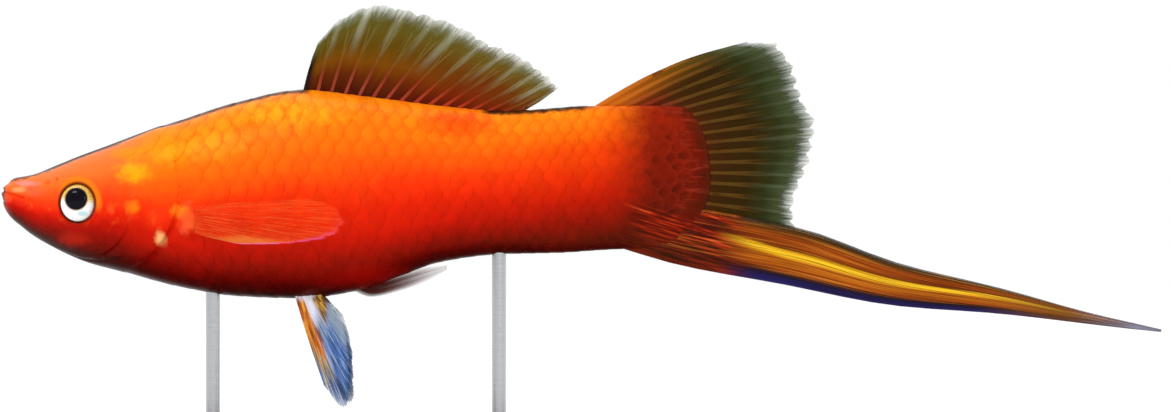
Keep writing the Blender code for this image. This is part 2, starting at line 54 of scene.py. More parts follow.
# Body outline and sections: u, height of the back, height of the belly, half width, height of the
# widest level, and the fullness of the section above and below it. The last row is the skin's
# thin end over the root of the tail fin.
BODY_STATIONS = (
    (0.0, 1.75, -1.95, 1.75, -0.10, 2.3, 2.2),
    (1.1, 1.90, -2.40, 1.95, -0.10, 2.4, 2.2),
    (2.9, 2.20, -3.75, 2.40, -0.20, 2.5, 2.1),
    (4.1, 2.50, -4.50, 2.75, -0.30, 2.6, 2.0),
    (8.0, 4.00, -6.35, 3.55, -0.30, 2.6, 2.0),
    (12.0, 5.45, -7.50, 4.25, -0.40, 2.4, 2.0),
    (17.7, 7.45, -9.00, 4.75, -0.20, 2.2, 2.0),
    (23.7, 9.35, -9.95, 4.95, 0.20, 2.1, 2.0),
    (29.7, 10.50, -10.15, 4.90, 0.50, 2.0, 2.0),
    (35.7, 9.90, -9.35, 4.30, 0.60, 2.0, 2.0),
    (39.7, 9.40, -7.95, 3.75, 0.80, 2.0, 2.0),
    (43.7, 8.90, -6.55, 3.20, 1.00, 2.0, 2.1),
    (49.7, 8.40, -5.75, 2.50, 1.30, 2.1, 2.1),
    (55.7, 8.75, -5.60, 2.00, 1.60, 2.2, 2.2),
    (60.5, 9.15, -5.30, 1.60, 1.90, 2.3, 2.3),
    (66.5, 9.20, -5.10, 0.80, 1.90, 2.3, 2.3),
    (70.8, 9.20, -4.90, 0.34, 1.90, 2.3, 2.3),
)
SKIN_END = BODY_STATIONS[-1][0]
SNOUT_LEVEL, TAIL_LEVEL = BODY_STATIONS[0][4], BODY_STATIONS[-1][4]
SNOUT_ROUNDING = 1.5
TAIL_TOP_ROUNDING = 3.2
TAIL_LOW_ROUNDING = 6.5
TAIL_EDGE_ROUNDING = 0.5
TAIL_BEND_START = 60.0
TAIL_BEND = 0.00085
SKIN_END_REACH = (7.3, 6.8)
SKIN_END_RAGGED = 0.28

# Grid of the skin: the step along the head and along the rest, and the columns around.
HEAD_STEP = 0.08
TRUNK_STEP = 0.30
HEAD_GRID_END = 19.5
SNOUT_GRID_ROWS = 14
TAIL_GRID_ROWS = 18
GRID_COLUMNS = 232
SECTION_SAMPLES = 361

# Relief of the head.
GILL_CENTRE = (9.7, 0.7)
GILL_RADIUS = 8.5
GILL_FRONT = 6.2
GILL_LIFT = 0.30
GILL_RAMP = 4.5
GILL_EDGE = 0.22
GILL_GROOVE = 0.13
GILL_TOP = 3.6
GILL_LOW = -7.6
CHEEK_CENTRE = (8.7, -1.3)
CHEEK_RADIUS = 4.5
CHEEK_ARC = (-1.75, 0.95)
CHEEK_LIFT = 0.10
CHEEK_GROOVE = 0.07
MOUTH_FRONT = (-0.4, 0.76)
MOUTH_CORNER = (2.6, -0.15)
LIP_LIFT = 0.14
MOUTH_DEPTH = 0.22
MOUTH_WIDTH = 0.10
MOUTH_FOLD = 0.07
NOSTRILS = ((4.9, 1.45, 0.24), (5.85, 1.75, 0.17))
NOSTRIL_DEPTH = 0.26
NOSTRIL_RIM = 0.09
ORBIT_RIMS = ((0.17, 1.17, 0.13), (0.08, 1.5, 0.2))
ORBIT_TRENCH = 0.10
SOCKET_DEPTH = 0.9
PAD = (20.1, -2.3)
PAD_REACH = (2.8, 2.0)
PAD_HEIGHT = 0.78
PAD_FOLD = 0.06
SWORD_LINE = (64.0, -0.9, -0.31)
SWORD_RIDGE = 0.07
SWORD_RIDGE_PITCH = 0.72
THROAT_FOLD = ((4.6, 0.955), (8.5, 0.90), (12.6, 0.80))
THROAT_SWELL = 0.06
THROAT_GROOVE = 0.07
FIN_SHEATH = 0.30
CREST = 0.22

EYE = (8.0, -0.6)
EYE_RADII = (1.78, 1.0, 1.92)
EYE_OUT = 2.95
EYE_FULLNESS = 2.7
PUPIL = (7.92, -0.19)
PUPIL_RADIUS = 1.10
PUPIL_BULGE = 0.20
PUPIL_DEPTH = 0.25
IRIS_LIP = 0.05
EYE_GRID = (72, 26)
PUPIL_GRID = (48, 14)

# Scales: rows around the body, the pitch from head to tail, and one scale's shape in pitches.
SCALE_ROWS = 13
SCALE_START = 10.6
SCALE_PITCH = (1.86, 1.34)
SCALE_HALF_LENGTH = 1.0
SCALE_HALF_WIDTH = 1.02
SCALE_LIFT = (-0.07, 0.125)
SCALE_CAMBER = 0.025
TAIL_FLATTENING = 0.75
HEAD_FLATTENING = 0.65
SCALE_THICKNESS = 0.045
SCALE_THINNING = 0.55
SCALE_CELLS = 8
SKIN_DEPTH = 0.08
BAKE_PATCH = 0.003

# Random shares of a scale's shift, growth and lift, and where scales stop: how far behind the gill
# cover, from where on the nape, round the dorsal fin, at the skin's end, and round pad and sword.
SCALE_JITTER = (0.05, 0.04, 0.12)
SCALE_END_GAP = 0.6
GILL_GAP = 0.55
NAPE = (12.2, GILL_TOP + 1.0)
DORSAL_GAPS = (1.2, 1.0)
SKIN_END_GAP = 2.1
PAD_GAPS = (1.7, 2.5, 0.5)
SWORD_GAP = (62.5, -0.1)

# Rays and membranes: places are shares of a ray's length, and thinnings are shares of a radius. A
# ray that ends inside its membrane thins from one place to another (SUNK_TIP).
FIN_SINK = 0.8
FRAME_STEP = 0.01
SPLIT_OVERLAP = 0.035
BRANCH_SINK = 0.02
FORK_THINNING = 0.82
FORK_REACH = 0.10
BRANCH_ENDS = (0.15, 0.85)
JOINT_SWELL = 0.10
RAY_TIP = 0.3
SUNK_TIP = (0.6, 0.66, 0.88)
WEB_VALLEY = 0.25
WEB_THIN_EDGE = 0.6
SCALLOP_SHARES = (0.35, 0.3)
TWIG_SPREAD = 0.25
TWIG_BEND = 0.85
RAY_STEPS = 20
RAY_SIDES = 6
JOINT_SPACING = 0.42

# Fins, as root and tip outlines from the first ray to the last.
DORSAL_RAYS = 16
DORSAL_ROOT = (30.0, 49.2)
DORSAL_TIP = (
    (31.5, 15.6), (33.9, 18.1), (37.3, 19.4), (42.9, 18.4), (48.5, 15.8), (53.4, 13.3),
    (55.8, 11.1),
)
DORSAL_BOW = 0.35
DORSAL_LEAN = 1.5
DORSAL_RIPPLE = (0.30, 1.1, 0.1)

CAUDAL_RAYS = 17
CAUDAL_ROOT = ((58.4, 8.3), (62.8, 7.0), (65.0, 4.6), (65.6, 1.9), (65.3, -0.8))
CAUDAL_TIP = (
    (74.6, 15.6), (77.2, 15.5), (79.5, 13.2), (80.2, 10.6), (81.5, 7.0), (80.6, 2.8), (79.3, -0.6),
    (79.6, -3.3),
)
CAUDAL_BOW = 0.95
CAUDAL_RIPPLE = (0.22, 0.95, 0.16)

SWORD_RAYS = 9
SWORD_UPPER = (
    (65.2, -0.7), (69.7, -1.4), (79.7, -3.3), (89.7, -6.8), (99.7, -9.2), (109.7, -11.9),
    (116.3, -13.35),
)
SWORD_LOWER = (
    (61.0, -4.6), (67.7, -6.6), (77.7, -8.5), (89.7, -10.8), (99.7, -11.6), (109.7, -12.8),
    (116.3, -13.6),
)

SWORD_STRIPE = (
    (61.0, 0.30), (71.5, 0.36), (75.0, 0.43), (78.8, 0.50), (82.7, 0.49), (89.7, 0.46),
    (104.7, 0.33), (116.3, 0.33),
)
SWORD_STRIPE_LEVEL = 0.40

PECTORAL_RAYS = 13
PECTORAL_ROOT = ((19.2, -0.9), (19.6, -3.5))
PECTORAL_TIP = (
    (31.6, -0.2), (34.4, -1.0), (35.3, -2.4), (34.0, -3.8), (29.6, -4.6), (25.2, -4.7),
    (22.2, -4.2),
)
PECTORAL_OUT = 4.3
PECTORAL_KNUCKLE = 0.9
PECTORAL_KNUCKLE_REACH = 0.015
PECTORAL_FLARE = math.radians(17)
PECTORAL_CUP = 0.35

PELVIC_RAYS = 7
PELVIC_ROOT = ((29.3, -9.4), (31.3, -9.3))
PELVIC_TIP = (
    (32.5, -19.0), (33.9, -20.8), (34.6, -21.3), (35.0, -20.0), (35.0, -17.0), (34.6, -14.2),
    (34.0, -12.0),
)
PELVIC_OUT = 0.9
PELVIC_SPLAY = math.radians(14)
PELVIC_BOW = 0.1
PELVIC_TWIST = 0.3

GONOPODIUM_RAYS = 4
GONOPODIUM_LOWER = ((34.4, -8.9), (36.8, -9.9), (39.7, -9.3), (42.0, -8.5), (44.4, -7.3))
GONOPODIUM_UPPER = ((36.4, -8.3), (38.0, -8.3), (40.0, -7.75), (42.2, -7.1), (44.4, -6.8))

# Stand. The collar's profile runs from its top to its foot: beyond the rod, and up.
ROD_RADIUS = 0.7
ROD_PLACES = (21.0, 49.6)
BASE_HEIGHT = 4.0
COLLAR_TURNS = 48
COLLAR_PROFILE = (
    (0.02, 0.9), (0.25, 0.9), (0.45, 0.75), (0.55, 0.50), (0.95, 0.35), (1.05, 0.22), (1.05, 0.0),
    (0.02, 0.0),
)

# Camera: level with the middle of the photo, whose 1171 px show 117.1 mm at the fish's mid-plane.
PHOTO_WIDTH_MM = 117.1
CAMERA_X = 0.1
CAMERA_HEIGHT = 26.4
FLOOR_RADIUS = 0.62
FLOOR_CORNERS = 96
FLOOR_GLOW = 0.11
ROOM_LIGHT = 0.62
ROOM_TURN = (-0.6, 0.5)
BACKDROP_LIGHT = 1.0
LENS = 100.0
SENSOR = 36.0

# Area lights: name, place in metres, size and power.
LIGHTS = (
    ("key", (-0.22, -0.40, 0.42), (0.22, 0.16), 1.25),
    ("top", (0.05, 0.02, 0.62), (0.50, 0.30), 0.7),
    ("fill", (0.34, -0.46, 0.16), (0.24, 0.20), 0.4),
    ("back", (0.10, 0.55, 0.36), (0.50, 0.30), 0.5),
)
LIGHT_TARGET = (0.0, 0.0, 0.028)


def tint(red, green, blue):
    """Linear colour from the usual 0 to 255 screen values."""
    linear = []
    for value in (red / 255, green / 255, blue / 255):
        linear.append(value / 12.92 if value <= 0.04045 else ((value + 0.055) / 1.055) ** 2.4)
    return (*linear, 1.0)


# Curves and shapes shared with the solids.


def smooth_through(knots, values, at):
    """Monotone cubic curve through the knots, for an array of places."""
    knots = np.asarray(knots, float)
    values = np.asarray(values, float)
    steps = np.diff(knots)
    slopes = np.diff(values) / steps
    tangents = np.zeros_like(values)
    for i in range(1, len(values) - 1):
        if slopes[i - 1] * slopes[i] > 0:
            before = 2 * steps[i] + steps[i - 1]
            after = steps[i] + 2 * steps[i - 1]
            tangents[i] = (before + after) / (before / slopes[i - 1] + after / slopes[i])
    tangents[0] = slopes[0]
    tangents[-1] = slopes[-1]
    at = np.clip(at, knots[0], knots[-1])
    i = np.clip(np.searchsorted(knots, at, side="right") - 1, 0, len(steps) - 1)
    t = (at - knots[i]) / steps[i]
    return (
        values[i] * (1 + 2 * t) * (1 - t) ** 2
        + tangents[i] * steps[i] * t * (1 - t) ** 2
        + values[i + 1] * t * t * (3 - 2 * t)
        + tangents[i + 1] * steps[i] * t * t * (t - 1)
    )


def curve_through(points, share):
    """u and h at a share of the way along a smooth curve through the points."""
    points = np.asarray(points, float)
    chord = np.concatenate([[0], np.cumsum(np.linalg.norm(np.diff(points, axis=0), axis=1))])
    at = np.asarray(share) * chord[-1]
    return smooth_through(chord, points[:, 0], at), smooth_through(chord, points[:, 1], at)


def ease(value):
    value = np.clip(value, 0.0, 1.0)
    return value * value * (3 - 2 * value)


def bell(value, width):
    return np.exp(-((value / width) ** 2))


def rounding(distance, reach):
    """Quarter ellipse that closes an end: 0 at the end itself and 1 past its reach."""
    return np.sqrt(1 - (1 - np.clip(distance / reach, 0.0, 1.0)) ** 2)


def sweep(u):
    """Sideways drift of the tail fin and sword, a gentle swimming curve."""
    return TAIL_BEND * np.maximum(u - TAIL_BEND_START, 0.0) ** 2


def ripple(t, v, shape):
    height, waves, start = shape
    return height * t * np.sin(2 * math.pi * (waves * v + start))


def section(u):
    """Back, belly, half width, widest level and fullnesses at an array of u, before any rounding."""
    knots, *columns = zip(*BODY_STATIONS)
    return [smooth_through(knots, column, u) for column in columns]


def body_ring(u, columns):
    """y and h of points spaced evenly round the body at one u, from the belly over the left side,
    the back and the right side to the belly again."""
    back, belly, half, level, above, below = section(u)
    nose = rounding(u, SNOUT_ROUNDING)
    back = level + (back - level) * nose * rounding(SKIN_END - u, TAIL_TOP_ROUNDING)
    belly = level + (belly - level) * nose * rounding(SKIN_END - u, TAIL_LOW_ROUNDING)
    half = half * nose * rounding(SKIN_END - u, TAIL_EDGE_ROUNDING)
    turn = np.linspace(0, math.pi, SECTION_SAMPLES)
    side, up = np.sin(turn), np.cos(turn)
    fullness = np.where(up >= 0, above, below)
    reach = np.where(up >= 0, back - level, level - belly)
    y = half * np.abs(side) ** (2 / fullness)
    h = level + np.sign(up) * reach * np.abs(up) ** (2 / fullness)
    run = np.concatenate([[0], np.cumsum(np.hypot(np.diff(y), np.diff(h)))])
    share = np.abs(np.linspace(-1, 1, columns)) * run[-1]
    sign = np.sign(np.linspace(-1, 1, columns))
    return np.interp(share, run, y) * sign, np.interp(share, run, h), run[-1]


def behind_gill(u, h):
    """How far behind the rear edge of the gill cover a place lies, seen from the side."""
    away = np.hypot(u - GILL_CENTRE[0], h - GILL_CENTRE[1]) - GILL_RADIUS
    return np.where(u > GILL_FRONT, away, -GILL_RADIUS)


def gill_relief(u, h):
    """Swell of the gill cover, its rounded rear edge and the groove behind it."""
    behind = behind_gill(u, h)
    opening = ease((GILL_TOP + 1.2 - h) / 2.4)
    swell = GILL_LIFT * ease(1 + behind / GILL_RAMP)
    inside = swell * np.where(behind < 0, rounding(-behind, GILL_EDGE), 0.0)
    groove = GILL_GROOVE * bell(behind - 0.12, 0.16) * (behind > -0.05)
    closed = swell * np.where(behind < 0, 1.0, ease(1 - behind / 2.5))
    grown = ease((u - GILL_FRONT) / (GILL_CENTRE[0] - GILL_FRONT)) * ease((h - GILL_LOW) / 2.2)
    return grown * (opening * (inside - groove) + (1 - opening) * closed)


def cheek_relief(u, h):
    """Raised rear edge of the cheek plate, a second arc ahead of the gill cover's edge."""
    away = np.hypot(u - CHEEK_CENTRE[0], h - CHEEK_CENTRE[1]) - CHEEK_RADIUS
    turn = np.arctan2(h - CHEEK_CENTRE[1], u - CHEEK_CENTRE[0])
    seen = ease((turn - CHEEK_ARC[0]) / 0.5) * ease((CHEEK_ARC[1] - turn) / 0.5)
    plate = CHEEK_LIFT * np.where(away < 0, ease(1 + away / 1.6), ease(1 - away / 0.22))
    return seen * (plate - CHEEK_GROOVE * bell(away - 0.3, 0.16))


def mouth_relief(u, h):
    """Lips along the mouth line, the cleft between them and the folds behind them."""
    start, end = np.array(MOUTH_FRONT), np.array(MOUTH_CORNER)
    run = end - start
    share = np.clip(((u - start[0]) * run[0] + (h - start[1]) * run[1]) / (run @ run), 0, 1)
    away = np.hypot(u - start[0] - share * run[0], h - start[1] - share * run[1])
    lips = LIP_LIFT * bell(away - 0.30, 0.26)
    cleft = MOUTH_DEPTH * bell(away, MOUTH_WIDTH) * ease((1.0 - share) / 0.12 + 0.25)
    folds = MOUTH_FOLD * bell(away - 0.95, 0.15) * ease((4.2 - u) / 1.5)
    return lips - cleft - folds


def nostril_relief(u, h):
    relief = 0.0
    for place_u, place_h, radius in NOSTRILS:
        away = np.hypot(u - place_u, h - place_h)
        relief = relief + NOSTRIL_RIM * bell(away - 1.5 * radius, 0.14)
        relief = relief - NOSTRIL_DEPTH * bell(away, radius)
    return relief


def eye_ratio(u, h):
    """1 on the eye's outline seen from the side, less inside it."""
    return np.hypot((u - EYE[0]) / EYE_RADII[0], (h - EYE[1]) / EYE_RADII[2])


def orbit_relief(u, h):
    """Rim round the eye, and the socket that the eyeball fills."""
    ratio = eye_ratio(u, h)
    rim = sum(lift * bell(ratio - at, width) for lift, at, width in ORBIT_RIMS)
    trench = ORBIT_TRENCH * bell(ratio - 1.0, 0.07)
    return rim - trench - SOCKET_DEPTH * ease((1.0 - ratio) / 0.3)


def pad_relief(u, h):
    """Fleshy base of a side fin: it swells out of the flank and ends where the fin starts."""
    swell = ease((u - PAD[0] + PAD_REACH[0]) / (PAD_REACH[0] - 0.3))
    tall = ease((1 - np.abs(h - PAD[1]) / PAD_REACH[1]) / 0.5)
    folds = PAD_FOLD * np.sin(5.2 * (h + 0.35 * (u - PAD[0]))) * ease((u - PAD[0] + 1.8) / 0.8)
    return (PAD_HEIGHT * swell + folds) * tall * rounding(PAD[0] - u, 1.5) * (u < PAD[0])


def below_sword_line(u, h):
    """How far a place lies below the line where the sword's first rays leave the scales."""
    start_u, start_h, slope = SWORD_LINE
    return start_h + slope * (u - start_u) - h


def sword_root_relief(u, h):
    """Low ridges where the sword's rays run under the skin of the tail."""
    below = below_sword_line(u, h)
    shown = ease((u - 62.5) / 2.5) * ease(below / 0.3 + 0.5)
    return SWORD_RIDGE * shown * np.cos(2 * math.pi * below / SWORD_RIDGE_PITCH)


def throat_relief(u, around, girth):
    """Fold under each side of the head, where the gill cover's lower edge meets the throat."""
    fold_u, fold_around = zip(*THROAT_FOLD)
    away = (np.abs(around) - smooth_through(fold_u, fold_around, u)) * girth
    ends = ease((u - fold_u[0] + 0.8) / 1.5) * ease((fold_u[-1] + 0.6 - u) / 1.2)
    swell = THROAT_SWELL * ease(1 + away / 0.9) * (away < 0)
    return ends * (swell - THROAT_GROOVE * bell(away - 0.05, 0.2))


class Skin:
    """Table of the skin on a grid of stations along and columns around, with its relief."""

    def __init__(self):
        share = np.arange(1, SNOUT_GRID_ROWS + 1) / SNOUT_GRID_ROWS
        snout = SNOUT_ROUNDING * (1 - np.cos(0.5 * math.pi * share))
        head = np.arange(SNOUT_ROUNDING + HEAD_STEP, HEAD_GRID_END, HEAD_STEP)
        last = SKIN_END - TAIL_TOP_ROUNDING
        trunk = np.arange(HEAD_GRID_END, last, TRUNK_STEP)
        share = np.arange(0, TAIL_GRID_ROWS) / TAIL_GRID_ROWS
        tail = SKIN_END - TAIL_TOP_ROUNDING * (1 - np.sin(0.5 * math.pi * share))
        self.u = np.concatenate([snout, head, trunk, tail])
        self.around = np.linspace(-1, 1, GRID_COLUMNS + 1)
        rings = [body_ring(u, GRID_COLUMNS + 1) for u in self.u]
        y, h, girth = (np.array(values) for values in zip(*rings))
        u = np.repeat(self.u[:, None], GRID_COLUMNS + 1, axis=1)
        self.girth = np.repeat(girth[:, None], GRID_COLUMNS + 1, axis=1)
        base = np.stack([u, y, h], axis=-1)
        self.normals = self.grid_normals(base)
        relief = self.sideways(u, h) + throat_relief(u, self.around[None, :], self.girth)
        relief = relief - SKIN_DEPTH * ease(behind_gill(u, h) / 0.3) * ease((SKIN_END - u) / 2.0)
        relief = relief + self.fin_sheath(u)
        self.points = base + self.normals * relief[..., None]
        self.points[..., 1] += sweep(u)
        self.normals = self.grid_normals(self.points)

    @staticmethod
    def grid_normals(points):
        along = np.gradient(points, axis=0)
        wrapped = np.concatenate([points[:, -2:-1], points, points[:, 1:2]], axis=1)
        across = (wrapped[:, 2:] - wrapped[:, :-2]) / 2
        normals = np.cross(along, across)
        length = np.linalg.norm(normals, axis=-1, keepdims=True)
        return normals / np.maximum(length, 1e-12)

    def sideways(self, u, h):
        """Relief that is drawn from the side, faded out where the skin faces up or down."""
        facing = ease((np.abs(self.normals[..., 1]) - 0.05) / 0.35)
        features = nostril_relief(u, h) + orbit_relief(u, h) + cheek_relief(u, h)
        features = features + pad_relief(u, h)
        flank = 0.2 + 0.8 * ease(np.abs(self.normals[..., 1]) / 0.45)
        relief = mouth_relief(u, h) + flank * gill_relief(u, h)
        relief = relief + sword_root_relief(u, h) * ease((SKIN_END - u - 1.0) / 3.0)
        return relief + facing * features * (u < PAD[0] + 1)

    def fin_sheath(self, u):
        """Low ridge of skin that carries the dorsal fin, and a lower crest ahead of it and behind it."""
        start, end = DORSAL_ROOT
        ends = ease((u - start + 1.0) / 1.5) * ease((end + 1.5 - u) / 1.5)
        away = np.abs(self.around[None, :]) * self.girth
        crest = ease((u - 2.5) / 3.0) * ease((60.0 - u) / 3.0) * (1 - ends)
        return FIN_SHEATH * ends * bell(away, 0.55) + CREST * crest * bell(away, 0.5)

    def at(self, u, around, table):
        """Values of a table at arrays of u and places around, between its grid points."""
        row = np.interp(u, self.u, np.arange(len(self.u)))
        column = (around + 1) / 2 * GRID_COLUMNS
        i = np.clip(row.astype(int), 0, len(self.u) - 2)
        k = np.clip(np.floor(column).astype(int), 0, GRID_COLUMNS - 1)
        a, b = row - i, column - k
        if table.ndim == 3:
            a, b = a[..., None], b[..., None]
        low = table[i, k] * (1 - b) + table[i, k + 1] * b
        high = table[i + 1, k] * (1 - b) + table[i + 1, k + 1] * b
        return low * (1 - a) + high * a


def skin_end(h):
    """u of the skin's rear end at a height, seen from the side."""
    above = 1 - np.sqrt(1 - np.clip((h - TAIL_LEVEL) / SKIN_END_REACH[0], 0, 1) ** 2)
    below = 1 - np.sqrt(1 - np.clip((TAIL_LEVEL - h) / SKIN_END_REACH[1], 0, 1) ** 2)
    ragged = SKIN_END_RAGGED * np.sin(3.1 * h + 0.6) * np.sin(1.17 * h + 2.0)
    return SKIN_END - TAIL_TOP_ROUNDING * above - TAIL_LOW_ROUNDING * below + ragged


def body_values(points):
    """What the skin's colours follow: place along, height, rise from belly to back, depth below the
    line of the back, distance from the mid-plane, and how far ahead of the skin's rear end."""
    u, h = points[:, 0], points[:, 2]
    back, belly = section(np.clip(u, 0.6, SKIN_END))[:2]
    rise = (h - belly) / (back - belly)
    return {
        "along": u,
        "height": h,
        "rise": rise,
        "below_back": back - h,
        "aside": np.abs(points[:, 1] - sweep(u)),
        "to_end": skin_end(h) - u,
    }


# Meshes.


def new_piece(name, points, faces, paint, values=None, sharp=60):
    """Object from points in fish millimetres, with its faces turned outwards."""
    first = np.array([face[:3] for face in faces])
    a, b, c = points[first[:, 0]], points[first[:, 1]], points[first[:, 2]]
    if np.einsum("ij,ij->i", a, np.cross(b, c)).sum() < 0:
        faces = [face[::-1] for face in faces]
    mesh = bpy.data.meshes.new(name)
    mesh.from_pydata(((points + ORIGIN) * MM).tolist(), [], faces)
    for key, numbers in (values or {}).items():
        layer = mesh.attributes.new(key, "FLOAT", "POINT")
        layer.data.foreach_set("value", np.asarray(numbers, np.float32).ravel())
    mesh.materials.append(paint.material)
    mesh.shade_smooth()
    if sharp:
        mesh.set_sharp_from_angle(angle=math.radians(sharp))
    obj = bpy.data.objects.new(name, mesh)
    bpy.context.scene.collection.objects.link(obj)
    return obj


def grid_faces(rows, columns, start=0):
    """Quads of a grid of points."""
    i, k = np.meshgrid(np.arange(rows - 1), np.arange(columns - 1), indexing="ij")
    a = (start + i * columns + k).ravel()
    return np.stack([a, a + 1, a + columns + 1, a + columns], axis=1)


def sheet_faces(rows, columns):
    """Faces of a closed sheet: a front grid, a back grid and the rim that joins them."""
    back = rows * columns
    front_faces = grid_faces(rows, columns)
    back_faces = grid_faces(rows, columns, back)[:, ::-1]
    rim = list(range(columns))
    rim += [i * columns + columns - 1 for i in range(1, rows)]
    rim += [(rows - 1) * columns + k for k in range(columns - 2, -1, -1)]
    rim += [i * columns for i in range(rows - 2, 0, -1)]
    rim = np.array(rim)
    following = np.roll(rim, -1)
    rim_faces = np.stack([rim, back + rim, back + following, following], axis=1)
    return np.concatenate([front_faces, back_faces, rim_faces])


def ring_faces(rows, turns):
    """Quads between rings of points that are closed round."""
    i, k = np.meshgrid(np.arange(rows - 1), np.arange(turns), indexing="ij")
    a, b = (i * turns + k).ravel(), (i * turns + (k + 1) % turns).ravel()
    return np.stack([a, b, b + turns, a + turns], axis=1)


def repeated(faces, count, size):
    """The same faces for many bodies of size points each."""
    return (faces[None] + (np.arange(count) * size)[:, None, None]).reshape(-1, faces.shape[1])


def tubes(centre, wide, deep, sides=RAY_SIDES):
    """Points and faces of closed tubes, from their centre lines and two radius vectors.

    Each argument has one row for each tube and one column for each point along it.
    """
    count, steps = centre.shape[:2]
    turn = 2 * math.pi * np.arange(sides) / sides
    ring = (
        centre[:, :, None]
        + np.cos(turn)[None, None, :, None] * wide[:, :, None]
        + np.sin(turn)[None, None, :, None] * deep[:, :, None]
    )
    size = steps * sides
    quads = repeated(ring_faces(steps, sides), count, size)
    caps = np.array([list(range(sides))[::-1], list(range(size - sides, size))])
    return ring.reshape(-1, 3), quads.tolist() + repeated(caps, count, size).tolist()


# Materials.


class Nodes:
    """A node tree, with short calls for what is added to it."""

    def __init__(self, owner):
        owner.use_nodes = True
        self.tree = owner.node_tree

    def put(self, value, socket):
        if isinstance(value, Value):
            self.tree.links.new(value.socket, socket)
        else:
            socket.default_value = value

    def node(self, kind, inputs, output=0, **settings):
        made = self.tree.nodes.new(kind)
        for key, value in settings.items():
            setattr(made, key, value)
        for key, value in inputs.items():
            self.put(value, made.inputs[key])
        return Value(self, made.outputs[output])


class Value:
    """A number or colour in a node tree, with arithmetic that adds the nodes it needs."""

    def __init__(self, nodes, socket):
        self.nodes, self.socket = nodes, socket

    def math(self, operation, other=0.0):
        return self.nodes.node("ShaderNodeMath", {0: self, 1: other}, operation=operation)

    def __add__(self, other):
        return self.math("ADD", other)

    def __sub__(self, other):
        return self.math("SUBTRACT", other)

    def __rsub__(self, other):
        return self.nodes.node("ShaderNodeMath", {0: other, 1: self}, operation="SUBTRACT")

    def __mul__(self, other):
        return self.math("MULTIPLY", other)

    def between(self, low, high):
        """0 where the value is at low, 1 where it is at high, and smooth in between."""
        if low > high:
            return 1.0 - self.between(high, low)
        inputs = {"Value": self, "From Min": low, "From Max": high}
        return self.nodes.node("ShaderNodeMapRange", inputs, interpolation_type="SMOOTHSTEP")

    def ramp(self, stops):
        """Colour that follows the value through (place, colour) stops."""
        made = self.nodes.tree.nodes.new("ShaderNodeValToRGB")
        elements = made.color_ramp.elements
        while len(elements) < len(stops):
            elements.new(0.5)
        for element, (place, colour) in zip(elements, stops):
            element.position = place
            element.color = tint(*colour)
        self.nodes.put(self, made.inputs["Fac"])
        return Value(self.nodes, made.outputs["Color"])

    def mix(self, factor, colour, blend="MIX"):
        return self.nodes.mix(factor, self, colour, blend)

    def noise(self, scale, detail=3.0, roughness=0.5, distortion=0.0):
        inputs = {"Vector": self, "Scale": scale, "Detail": detail}
        inputs.update({"Roughness": roughness, "Distortion": distortion})
        return self.nodes.node("ShaderNodeTexNoise", inputs, "Fac")


class Paint(Nodes):
    """One procedural material."""

    def __init__(self, name, **plain):
        self.material = bpy.data.materials.new(name)
        super().__init__(self.material)
        self.set(**plain)

    def set(self, **values):
        for key, value in values.items():
            self.put(value, self.tree.nodes["Principled BSDF"].inputs[key.replace("_", " ")])

    def __getitem__(self, name):
        """One of the mesh's own values, such as the place along the fish."""
        return self.node("ShaderNodeAttribute", {}, "Fac", attribute_name=name)

    def place(self, stretch=(1, 1, 1)):
        """Place on the object in millimetres, stretched by a factor on each axis."""
        spot = self.node("ShaderNodeTexCoord", {}, "Object")
        scale = tuple(factor / MM for factor in stretch)
        return self.node("ShaderNodeVectorMath", {0: spot, 1: scale}, operation="MULTIPLY")

    def mix(self, factor, a, b, blend="MIX"):
        a, b = (tint(*colour) if isinstance(colour, tuple) else colour for colour in (a, b))
        return self.node("ShaderNodeMix", {0: factor, 6: a, 7: b}, 2, data_type="RGBA", blend_type=blend)

    def vector(self, x, y):
        return self.node("ShaderNodeCombineXYZ", {"X": x, "Y": y})

    def bump(self, height, distance, strength):
        inputs = {"Height": height, "Distance": distance * MM, "Strength": strength}
        self.set(Normal=self.node("ShaderNodeBump", inputs))

    def from_middle(self, middle, radii):
        """Shares across, up and away from the middle of an oval on the flanks."""
        across = (self["along"] - middle[0]).math("DIVIDE", radii[0])
        up = (self["height"] - middle[1]).math("DIVIDE", radii[1])
        return across, up, (across * across + up * up).math("SQRT")


# The ramps below follow the rise from belly to back: the fish's own orange and red, with painted light that
# brightens the back and painted shade that darkens them towards the belly, to near black on the flank, stalk
# and head.
FLANK = (
    (0.00, (40, 2, 1)), (0.06, (84, 3, 2)), (0.18, (160, 8, 2)), (0.27, (200, 16, 3)),
    (0.42, (226, 32, 4)), (0.55, (244, 56, 8)), (0.70, (248, 96, 10)), (0.80, (250, 116, 10)),
    (0.91, (250, 128, 10)), (1.00, (250, 142, 14)),
)
STALK = (
    (0.00, (56, 6, 3)), (0.10, (98, 9, 2)), (0.20, (134, 11, 2)), (0.35, (178, 18, 2)),
    (0.51, (220, 42, 3)), (0.70, (236, 70, 5)), (0.89, (248, 122, 9)), (1.00, (250, 140, 16)),
)
HEAD = (
    (0.00, (30, 2, 2)), (0.10, (60, 2, 2)), (0.20, (116, 3, 2)), (0.35, (180, 7, 2)),
    (0.50, (228, 30, 7)), (0.65, (242, 62, 18)), (0.85, (246, 108, 36)), (1.00, (240, 124, 62)),
)
TAIL_TURN = (
    (0.10, (70, 6, 3)), (0.40, (180, 22, 4)), (0.70, (214, 48, 6)), (1.00, (222, 84, 8)),
)
TAIL_ROOT = (
    (0.00, (44, 8, 4)), (0.18, (82, 12, 3)), (0.45, (108, 14, 4)), (0.75, (124, 20, 5)),
    (0.92, (140, 28, 6)), (1.00, (152, 36, 8)),
)
SWORD_STREAKS = ((0.42, (72, 9, 4)), (0.52, (122, 19, 6)), (0.61, (178, 42, 14)), (0.70, (210, 84, 40)))
DEEP_STREAKS = ((0.35, (50, 8, 4)), (0.65, (126, 32, 10)))
